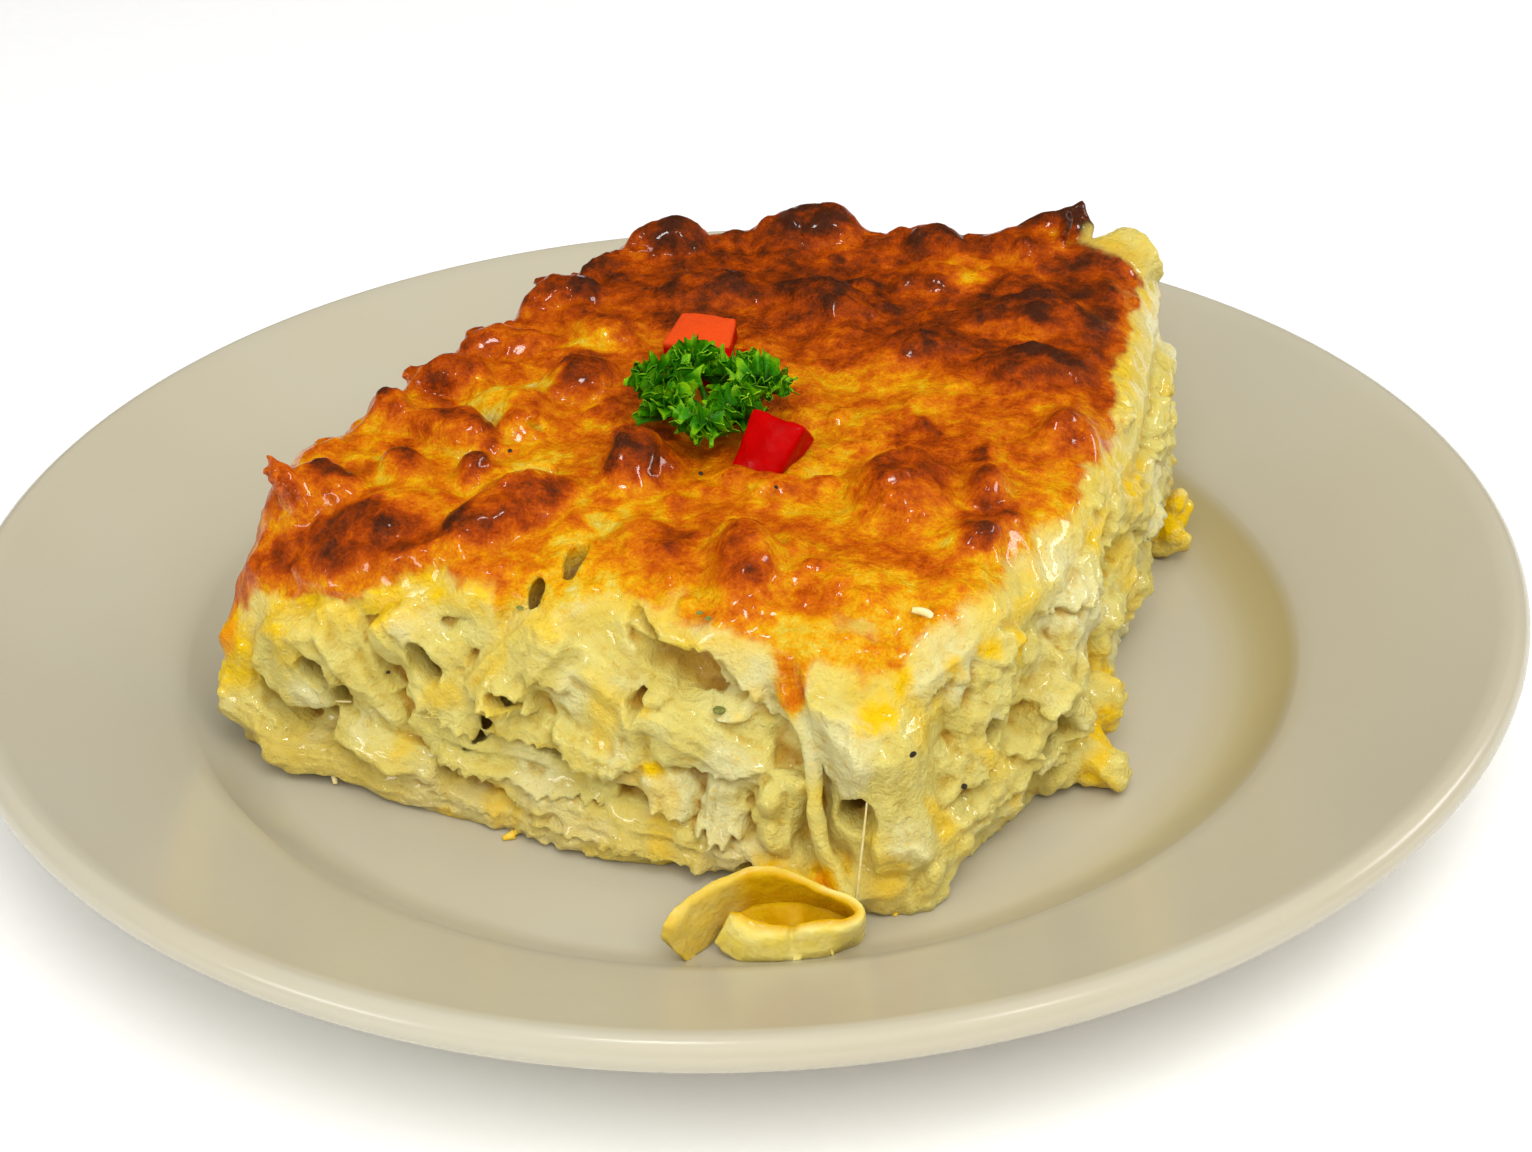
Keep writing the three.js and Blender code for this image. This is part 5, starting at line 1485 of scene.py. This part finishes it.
# The ring's middle line, from its free arm round to where the ring closes
RING_CURVE = [
    (-13.6, -3.6), (-11.6, -0.9), (-8, 1.8), (-3.6, 3.5), (1, 4), (5.8, 2.9), (9.2, 0.7),
    (8.0, -1.6), (4, -3.4), (-0.6, -3.9), (-5, -3.1), (-8.6, -0.9),
]
RING_PLACE = (5, -75, 10.6)
RING_LEAN = math.radians(35)
RING_BAND = 5.6
RING_SKIRT = 2.4
RING_SPLAY = 1.5
RING_SQUARENESS = 0.4
RING_STEPS = 150
RING_CORNERS = 22
FILM_THICKNESS = 0.5


def ring_film(path):
    """The film of pasta that closes the ring's hollow low down, as a thin closed dish."""
    rim = path[20:-8]
    middle = rim.mean(axis=0)
    layers = []
    for share in (0.98, 0.75, 0.5, 0.25, 0.05):
        ring = middle + share * (rim - middle)
        layers.append(np.column_stack([ring, np.full(len(ring), -2.0 - 1.0 * (1 - share ** 2))]))
    top = np.concatenate(layers)
    count, rows = len(rim), len(layers)
    points = np.concatenate([top, top - (0, 0, FILM_THICKNESS)])
    strip = strip_faces(rows, count)
    low = rows * count
    inner = (rows - 1) * count
    place = np.arange(count)
    following = (place + 1) % count
    middle_faces = np.array([(inner, inner + index, inner + index + 1) for index in range(1, count - 1)])
    faces = [strip[:, ::-1], strip + low, middle_faces, middle_faces[:, ::-1] + low,
             np.stack([place, place + low, following + low], 1),
             np.stack([place, following + low, following], 1)]
    return points, np.concatenate(faces)


def ring_band(path, corners):
    """The bent band of pasta along a path: its points, its faces and how much of the deeper yellow each point
    gets, on its inner side and, as painted shade, on the free arm.
    """
    steps = len(path)
    way = np.gradient(path, axis=0)
    way /= np.linalg.norm(way, axis=1, keepdims=True)
    across = np.stack([way[:, 1], -way[:, 0]], 1)
    angle = np.linspace(0, 2 * math.pi, corners, endpoint=False)
    side = np.sign(np.cos(angle)) * np.abs(np.cos(angle)) ** RING_SQUARENESS
    level = np.sign(np.sin(angle)) * np.abs(np.sin(angle)) ** RING_SQUARENESS
    from_end = np.minimum(np.arange(steps), steps - 1 - np.arange(steps))
    taper = np.minimum(1, 0.35 + 0.16 * from_end) ** 0.5
    along = np.arange(steps) / steps
    front = smooth(0.55, 0.7, along)
    half = 0.8 * TUBE_WALL / 2 * taper * (1 + 0.15 * np.sin(23 * along)) * (1 + 0.5 * front)
    arm = 1 + 0.45 * falling(0.2, 0.45, along)
    band = RING_BAND / 2 * taper * arm * (1 + 0.07 * np.sin(17 * along + 1)) * (1 - 0.12 * front)
    drop = RING_SKIRT * smooth(0.12, 0.3, along) * falling(0.62, 0.72, along)
    notch = 0.9 * np.exp(-((along - 0.78) / 0.014) ** 2)
    points = np.empty((steps, corners, 3))
    splay = RING_SPLAY * (front - 1.2 * falling(0.25, 0.45, along))
    inward = np.outer(half, side) + np.outer(splay, level + 0.5)
    points[..., 0] = path[:, :1] + inward * across[:, :1]
    points[..., 1] = path[:, 1:] + inward * across[:, 1:]
    points[..., 2] = np.outer(band, level) - np.outer(notch, level > 0.5) - np.outer(drop, level < 0)
    points = points.reshape(-1, 3)
    inner = np.tile(smooth(-0.2, 0.5, side), steps) * np.repeat(smooth(0.16, 0.26, along), corners)
    # Painted shade: the free arm gets part of the deeper yellow too.
    inner = np.maximum(inner, 0.45 * np.repeat(falling(0.3, 0.5, along), corners))
    faces = strip_faces(steps, corners)[:, ::-1].tolist()
    for ring, flip in ((0, 1), (steps - 1, -1)):
        for corner in range(1, corners - 1):
            faces.append([ring * corners + place for place in (0, corner, corner + 1)[::-flip]])
    points = points + 0.3 * np.stack([layered(points, 3, seed) for seed in (1, 3, 5)], 1)
    return points, faces, inner


def ring_piece():
    path, _ = curve_points(RING_CURVE, RING_STEPS)
    points, faces, inner = ring_band(path, RING_CORNERS)
    matrix = Matrix.Translation(RING_PLACE) @ Matrix.Rotation(RING_LEAN, 4, "X")
    points = moved(matrix, points)
    floor = plate_top(np.hypot(points[:, 0], points[:, 1])) + 0.05
    points[:, 2] = np.maximum(points[:, 2], floor)
    film_points, film_faces = ring_film(path)
    film_points = moved(matrix, shaken(film_points, 0.8, 3.5, (1, 3, 5)))
    points, faces = join_meshes([(points, faces), (film_points, film_faces)])
    piece = mesh_object("loose_macaroni", points, faces)
    set_attribute(piece, "inner", np.concatenate([inner, np.ones(len(film_points))]))
    return piece


# Diced red pepper, in the slab frame: middle, sizes, tilts about X and Y and turn about Z in degrees, taper

DICE = {
    "red_pepper_back": ((43.6, 67.2, 41.4), (9.6, 7.6, 5), (14, 0, 6), 0.1),
    "red_pepper_middle": ((50.5, 60, 41.4), (8.5, 6, 4.5), (0, 8, 40), 0.1),
    "red_pepper_front": ((66.2, 39.2, 40.8), (7.6, 10.2, 5), (44, 7, -8), -0.14),
}
PALE_DICE = "red_pepper_back"
DICE_CROWN = 0.9
DICE_ROUNDING = 0.45


def rounded_box(sizes, rounding, count):
    """Points and faces of a box with rounded edges, from a cube's face grids."""
    line = np.linspace(-1, 1, count)
    u, v = np.meshgrid(line, line, indexing="ij")
    quads = grid_faces(count, count)
    parts = []
    for axis in range(3):
        for sign in (-1, 1):
            points = np.empty((count * count, 3))
            points[:, axis] = sign
            points[:, (axis + 1) % 3] = u.ravel()
            points[:, (axis + 2) % 3] = v.ravel()
            parts.append((points, quads if sign > 0 else quads[:, ::-1]))
    points, faces = join_meshes(parts)
    key = np.round(points * 1000).astype(int)
    _, first, same = np.unique(key, axis=0, return_index=True, return_inverse=True)
    points, faces = points[first], same.reshape(-1)[faces]
    half = np.array(sizes) / 2
    core = np.clip(points * half, -(half - rounding), half - rounding)
    out = points * half - core
    length = np.linalg.norm(out, axis=1, keepdims=True)
    return core + out / np.maximum(length, 1e-9) * np.minimum(length, rounding), faces


def pepper_piece(name, place, sizes, turns, taper):
    points, faces = rounded_box(sizes, DICE_ROUNDING, 25)
    long, wide, high = sizes
    across = 2 * points[:, 0] / long
    deep = 2 * points[:, 1] / wide
    crown = DICE_CROWN * np.maximum(0, 1 - across ** 2) * np.maximum(0, 1 - deep ** 2) * (points[:, 2] > 0)
    flesh = 0.9 * (name == PALE_DICE) * smooth(0.55, 0.95, 2 * points[:, 2] / high)
    points[:, 2] += crown
    points[:, 0] *= 1 - taper * deep
    points += 0.16 * np.stack([layered(points, 2.6, seed, 2) for seed in (0, 2, 4)], 1)
    turned = Euler([math.radians(turn) for turn in turns], "XYZ").to_matrix().to_4x4()
    matrix = SLAB_TO_PLATE @ Matrix.Translation(place) @ turned
    piece = mesh_object(name + "_dice", moved(matrix, points), faces)
    set_attribute(piece, "flesh", flesh)
    return piece


# Parsley

SPRIG_ROOT = (53.4, 47.6, 40.6)

# Sprays of the sprig: place from its root, bearing and lift in degrees, and radius of the leaflets
LEAFLETS = [
    (-6.6, -0.6, 3, 176, 12, 5), (-4.6, 5.2, 3.4, 128, 22, 5), (1.4, 6.6, 2.6, 76, 12, 5),
    (6.6, 3.6, 3.4, 26, 22, 4.8), (5.6, -3.6, 2.6, 330, 10, 4.8), (3.4, -9.2, 2.8, 290, 4, 4.8),
    (-4, -5.4, 2.6, 226, 12, 4.6),
]
LEAF_THICKNESS = 0.22


def frill(radius, lobes, phase, curl, draw):
    """A lobed and toothed leaflet as a thin closed solid: its foot is at the origin and it grows along X."""
    rows, columns = 9, 12 * lobes + 1
    share = np.linspace(0.08, 1, rows)[:, None]
    turn = np.linspace(-1, 1, columns)[None]
    lobe = np.abs(((turn + 1) / 2 * lobes) % 1 - 0.5) * 2
    tooth = np.abs(((turn + 1) / 2 * lobes * 3) % 1 - 0.5) * 2
    reach = radius * share * (1 - (0.36 * lobe ** 1.4 + 0.11 * tooth) * share ** 1.5)
    reach = reach * (1 + 0.048 * draw.standard_normal(columns))
    angle = 1.25 * turn
    wave = np.sin(lobes * math.pi * turn + phase) * 0.26 * share ** 1.3
    fold = 0.1 * np.sin(2.3 * lobes * math.pi * turn + 2 * phase) * share ** 2
    height = radius * (wave + fold + curl * share ** 2)
    top = np.stack([reach * np.cos(angle), reach * np.sin(angle), height], -1).reshape(-1, 3)
    # Painted light and shade: the leaflet is lighter towards its lobe tips and darker at its foot and in its
    # notches.
    tip = np.broadcast_to(share ** 1.2 * (1 - 0.5 * lobe), (rows, columns)).reshape(-1)
    grid = np.arange(rows * columns).reshape(rows, columns)
    quads = grid_faces(rows, columns)
    under = top - (0, 0, LEAF_THICKNESS)
    count = rows * columns
    rim = np.concatenate([grid[0], grid[1:, -1], grid[-1, -2::-1], grid[-2:0:-1, 0]])
    following = np.roll(rim, -1)
    wall = np.stack([rim, rim + count, following + count, following], 1)
    faces = np.concatenate([quads, quads[:, ::-1] + count, wall])
    # Painted shade: the underside gets only part of the tip share, so it is darker.
    return np.vstack([top, under]), faces, np.concatenate([tip, tip * 0.6])


def parsley_piece():
    draw = np.random.default_rng(PARSLEY_SEED)
    parts = []
    tips = []
    for x, y, height, bearing, lift, radius in LEAFLETS:
        stem = np.array([(0, 0, 0.2), (x * 0.5, y * 0.5, height * 0.75), (x, y, height)])
        path, _ = curve_points(stem, 10)
        parts.append(tube_mesh(path, np.linspace(0.55, 0.3, 10), 7))
        tips.append(np.full(len(parts[-1][0]), 0.25))
        for index in range(8):
            spread = (index - 3.5) * 40 + draw.uniform(-12, 12)
            size = radius * draw.uniform(0.72, 1.0)
            lobes, phase, curl = draw.integers(3, 5), draw.uniform(0, 6), draw.uniform(-0.1, 0.4)
            points, quads, tip = frill(size, lobes, phase, curl, draw)
            tilt = lift + draw.uniform(-12, 40)
            out = draw.uniform(0.05, 0.3) * radius
            foot = posed((x, y, height + draw.uniform(-1.2, 1.8)), bearing + spread)
            roll = Matrix.Rotation(draw.uniform(-0.6, 0.6), 4, "X")
            matrix = foot @ posed((out, 0, 0), 0, tilt) @ roll
            points = moved(matrix, points)
            triangles = np.concatenate([quads[:, [0, 1, 2]], quads[:, [0, 2, 3]]])
            parts.append((points, triangles))
            tips.append(tip)
    piece = on_slab("parsley", [(points + SPRIG_ROOT, faces) for points, faces in parts])
    set_attribute(piece, "tip", np.concatenate(tips))
    return piece


# Threads, shreds, crumbs and specks, in the slab frame

# Threads of cheese: radius and the points it goes through
THREADS = [
    (0.17, [(97.4, -3.7, 20), (96.9, -5.2, 10), (96.3, -6.2, 0.9)]),
    (0.17, [(15.3, -1.6, 13.2), (20.2, -1.9, 14.4)]),
    (0.2, [(94, -7.2, 2.0), (91.5, -8.6, 1.6)]), (0.2, [(93.2, -6.2, 4.0), (90.8, -8.0, 3.2)]),
    (0.55, [(97.6, 11.6, 38.4), (99.3, 12.4, 37.8), (100.9, 12.2, 36.9)]),
    (0.5, [(15.2, -1.2, 4.6), (15.9, -2.4, 2.2), (16.8, -3.4, 0.6)]),
]

# Crumbs of cheese on the plate: x, y and radius
CRUMBS = [
    (108.2, 99.1, 1.4), (110.5, 102, 1.0), (104.4, 118.2, 1.6),
    (60.4, -3.4, 0.35), (100.2, -1.8, 0.5),
]
SHREDS = [[(46.4, -1.2, 2.6), (46.8, -3.0, 1.2), (45.6, -5.2, 0.5)], [(45.9, -4.8, 0.6), (44.8, -6.0, 0.3)]]

# Specks of ground pepper and flecks of dried herb: place and radius
PEPPER_SPECKS = [
    (101.9, 0.1, 24.6, 0.62), (106.2, 8.0, 15.5, 0.45), (27, -2.2, 21, 0.3), (60, 30, 41.4, 0.34),
    (71, 30.4, 41.2, 0.3), (66, 7.5, 38.4, 0.26), (32, 27, 41.3, 0.35),
]
HERB_FLECKS = [(76.2, -1.6, 26.2, 0.9), (72, 2.8, 37.5, 0.45), (73.4, 2.2, 37.3, 0.4), (46.7, 0.8, 33.8, 0.5),
               (103.5, 40, 30, 0.6), (97.8, 4.4, 22.5, 0.5)]


def thread_piece():
    """Threads that thin out towards both ends."""
    taper = np.sin(np.linspace(0.5, math.pi - 0.5, 24)) ** 0.5
    return on_slab("cheese_threads", [tube_mesh(curve_points(corners, len(taper))[0], radius * taper, 8)
                                      for radius, corners in THREADS])


def shred_piece():
    """Thick uneven shreds that get thinner towards their end."""
    radii = np.linspace(0.75, 0.35, 20)
    tubes = [tube_mesh(curve_points(corners, len(radii))[0], radii, 10) for corners in SHREDS]
    points, faces = join_meshes(tubes)
    return on_slab("cheese_shreds", [(shaken(points, 0.12, 1.2, (0, 1, 2)), faces)])


def pebble(radius, seed, flat=1.0):
    """A small uneven lump."""
    points, faces = rounded_box((2 * radius,) * 3, radius * 0.98, 7)
    points = points * (1 + 0.35 * noise(points + seed * 3.1, radius * 1.3, seed)[:, None])
    return points * (1, 1, flat), faces


def scattered(name, rows, flat):
    """Small lumps at given places: x, y, height and radius."""
    parts = []
    for index, (*place, radius) in enumerate(rows):
        points, faces = pebble(radius, index, flat)
        parts.append((points + place, faces))
    return on_slab(name, parts)


# Stage

# Where the photo was taken from, as fitted to the plate's rim and well
CAMERA_PLACE = (3.769, -335.314, 219.042)
CAMERA_WAY = (0, 0.85645, -0.51623)
CAMERA_ROLL = math.radians(-1.86)
CAMERA_LENS = 61.1

# Lights, in metres: name, place, size, power and colour. The first list gives only the highlights.
GLINTS = [
    ("window", (-0.15, -0.25, 1.1), (0.16, 0.12), 1.8), ("lamp", (0.45, -0.4, 0.95), (0.11, 0.11), 1.0),
    ("left_glint", (-0.65, -0.5, 0.36), (0.3, 0.1), 1.2),
    ("right_glint", (0.86, 0.12, 0.42), (0.4, 0.1), 1.8),
]
LIGHTS = [
    ("key", (0.14, -0.65, 0.82), (0.8, 0.7), 8.6, (1, 0.985, 0.94)),
    ("fill", (-0.7, -0.5, 0.45), (0.8, 0.5), 2.4, (0.95, 0.98, 1)),
    ("top", (0.15, -0.1, 1.1), (0.8, 0.8), 2.4), ("back", (0.65, 0.4, 0.7), (0.8, 0.8), 2.5),
]
LIT_PLACE = (0, 0, 0.02)
ROOM_COLOUR = (1.0, 0.99, 0.97, 1)
ROOM_STRENGTH = 0.45

# The paper that the plate stands on
PAPER = (0.97, 0.97, 0.97)
PAPER_SHADE = (0.95, 0.95, 0.95)
PAPER_HALF = 3000


def make_camera():
    way = Vector(CAMERA_WAY).normalized()
    across = Vector((1, 0, 0))
    above = across.cross(way)
    right = math.cos(CAMERA_ROLL) * across + math.sin(CAMERA_ROLL) * above
    up = -math.sin(CAMERA_ROLL) * across + math.cos(CAMERA_ROLL) * above
    data = bpy.data.cameras.new("camera")
    data.lens = CAMERA_LENS
    camera = bpy.data.objects.new("camera", data)
    turn = Matrix((right, up, -way)).transposed().to_4x4()
    camera.matrix_world = Matrix.Translation(Vector(CAMERA_PLACE) * MM) @ turn
    bpy.context.collection.objects.link(camera)
    bpy.context.scene.camera = camera


def area_light(shines, name, place, size, power, colour=(1, 1, 1)):
    """A soft light, which either lights the surfaces or, where it shines, gives their highlights."""
    data = bpy.data.lights.new(name, "AREA")
    data.shape = "RECTANGLE"
    data.size, data.size_y = size
    data.energy = power
    data.color = colour
    light = bpy.data.objects.new(name, data)
    way = Vector(LIT_PLACE) - Vector(place)
    light.matrix_world = Matrix.Translation(place) @ way.to_track_quat("-Z", "Y").to_matrix().to_4x4()
    light.visible_glossy = shines
    light.visible_diffuse = not shines
    bpy.context.collection.objects.link(light)


def make_stage():
    scene = bpy.context.scene
    scene.view_settings.view_transform = "Standard"
    world = bpy.data.worlds.new("studio")
    scene.world = world
    world.use_nodes = True
    background = world.node_tree.nodes["Background"]
    background.inputs["Color"].default_value = ROOM_COLOUR
    background.inputs["Strength"].default_value = ROOM_STRENGTH
    world.cycles_visibility.glossy = False
    for row in GLINTS:
        area_light(True, *row)
    for row in LIGHTS:
        area_light(False, *row)
    corners = PAPER_HALF * np.array([(-1, -1, 0), (1, -1, 0), (1, 1, 0), (-1, 1, 0)])
    floor = mesh_object("floor", corners, [(0, 1, 2, 3)])
    shader = Shader("floor_paper")
    shader.colour(shader.mix(shader.clouds(4, 2, 0.3, 0.7), PAPER, PAPER_SHADE))
    shader.set(Roughness=0.9)
    floor.data.materials.append(shader.material)


make_camera()
make_stage()

finish_piece(plate_piece(), plate_material(), "plate", "plate")
finish_piece(gratin_piece(), gratin_material(), "gratin", "gratin_slab")
finish_piece(ring_piece(), ring_material(), "pasta", "loose_macaroni_ring")
red = pepper_material()
for node, (place, sizes, turns, taper) in DICE.items():
    finish_piece(pepper_piece(node, place, sizes, turns, taper), red, "red_pepper", node)
finish_piece(parsley_piece(), leaf_material(), "parsley", "parsley_sprig")

pale_cheese = plain_material("melted_cheese", srgb(232, 220, 170), srgb(228, 206, 130), 0.25)
yellow_cheese = plain_material("yellow_cheese", srgb(232, 186, 20), srgb(226, 200, 90), 0.3)
finish_piece(thread_piece(), pale_cheese, "gratin")
finish_piece(shred_piece(), yellow_cheese, "gratin")
crumb_rows = [(x, y, 0.75 * radius, radius) for x, y, radius in CRUMBS]
finish_piece(scattered("crumbs", crumb_rows, 0.8), yellow_cheese, "gratin")
ground_pepper = plain_material("ground_pepper", srgb(30, 22, 14), srgb(60, 44, 28), 0.6, 0.4)
finish_piece(scattered("pepper_specks", PEPPER_SPECKS, 0.7), ground_pepper, "gratin")
dried_herb = plain_material("dried_herb", srgb(104, 112, 40), srgb(140, 140, 70), 0.6, 0.4)
finish_piece(scattered("herb_flecks", HERB_FLECKS, 0.3), dried_herb, "gratin")
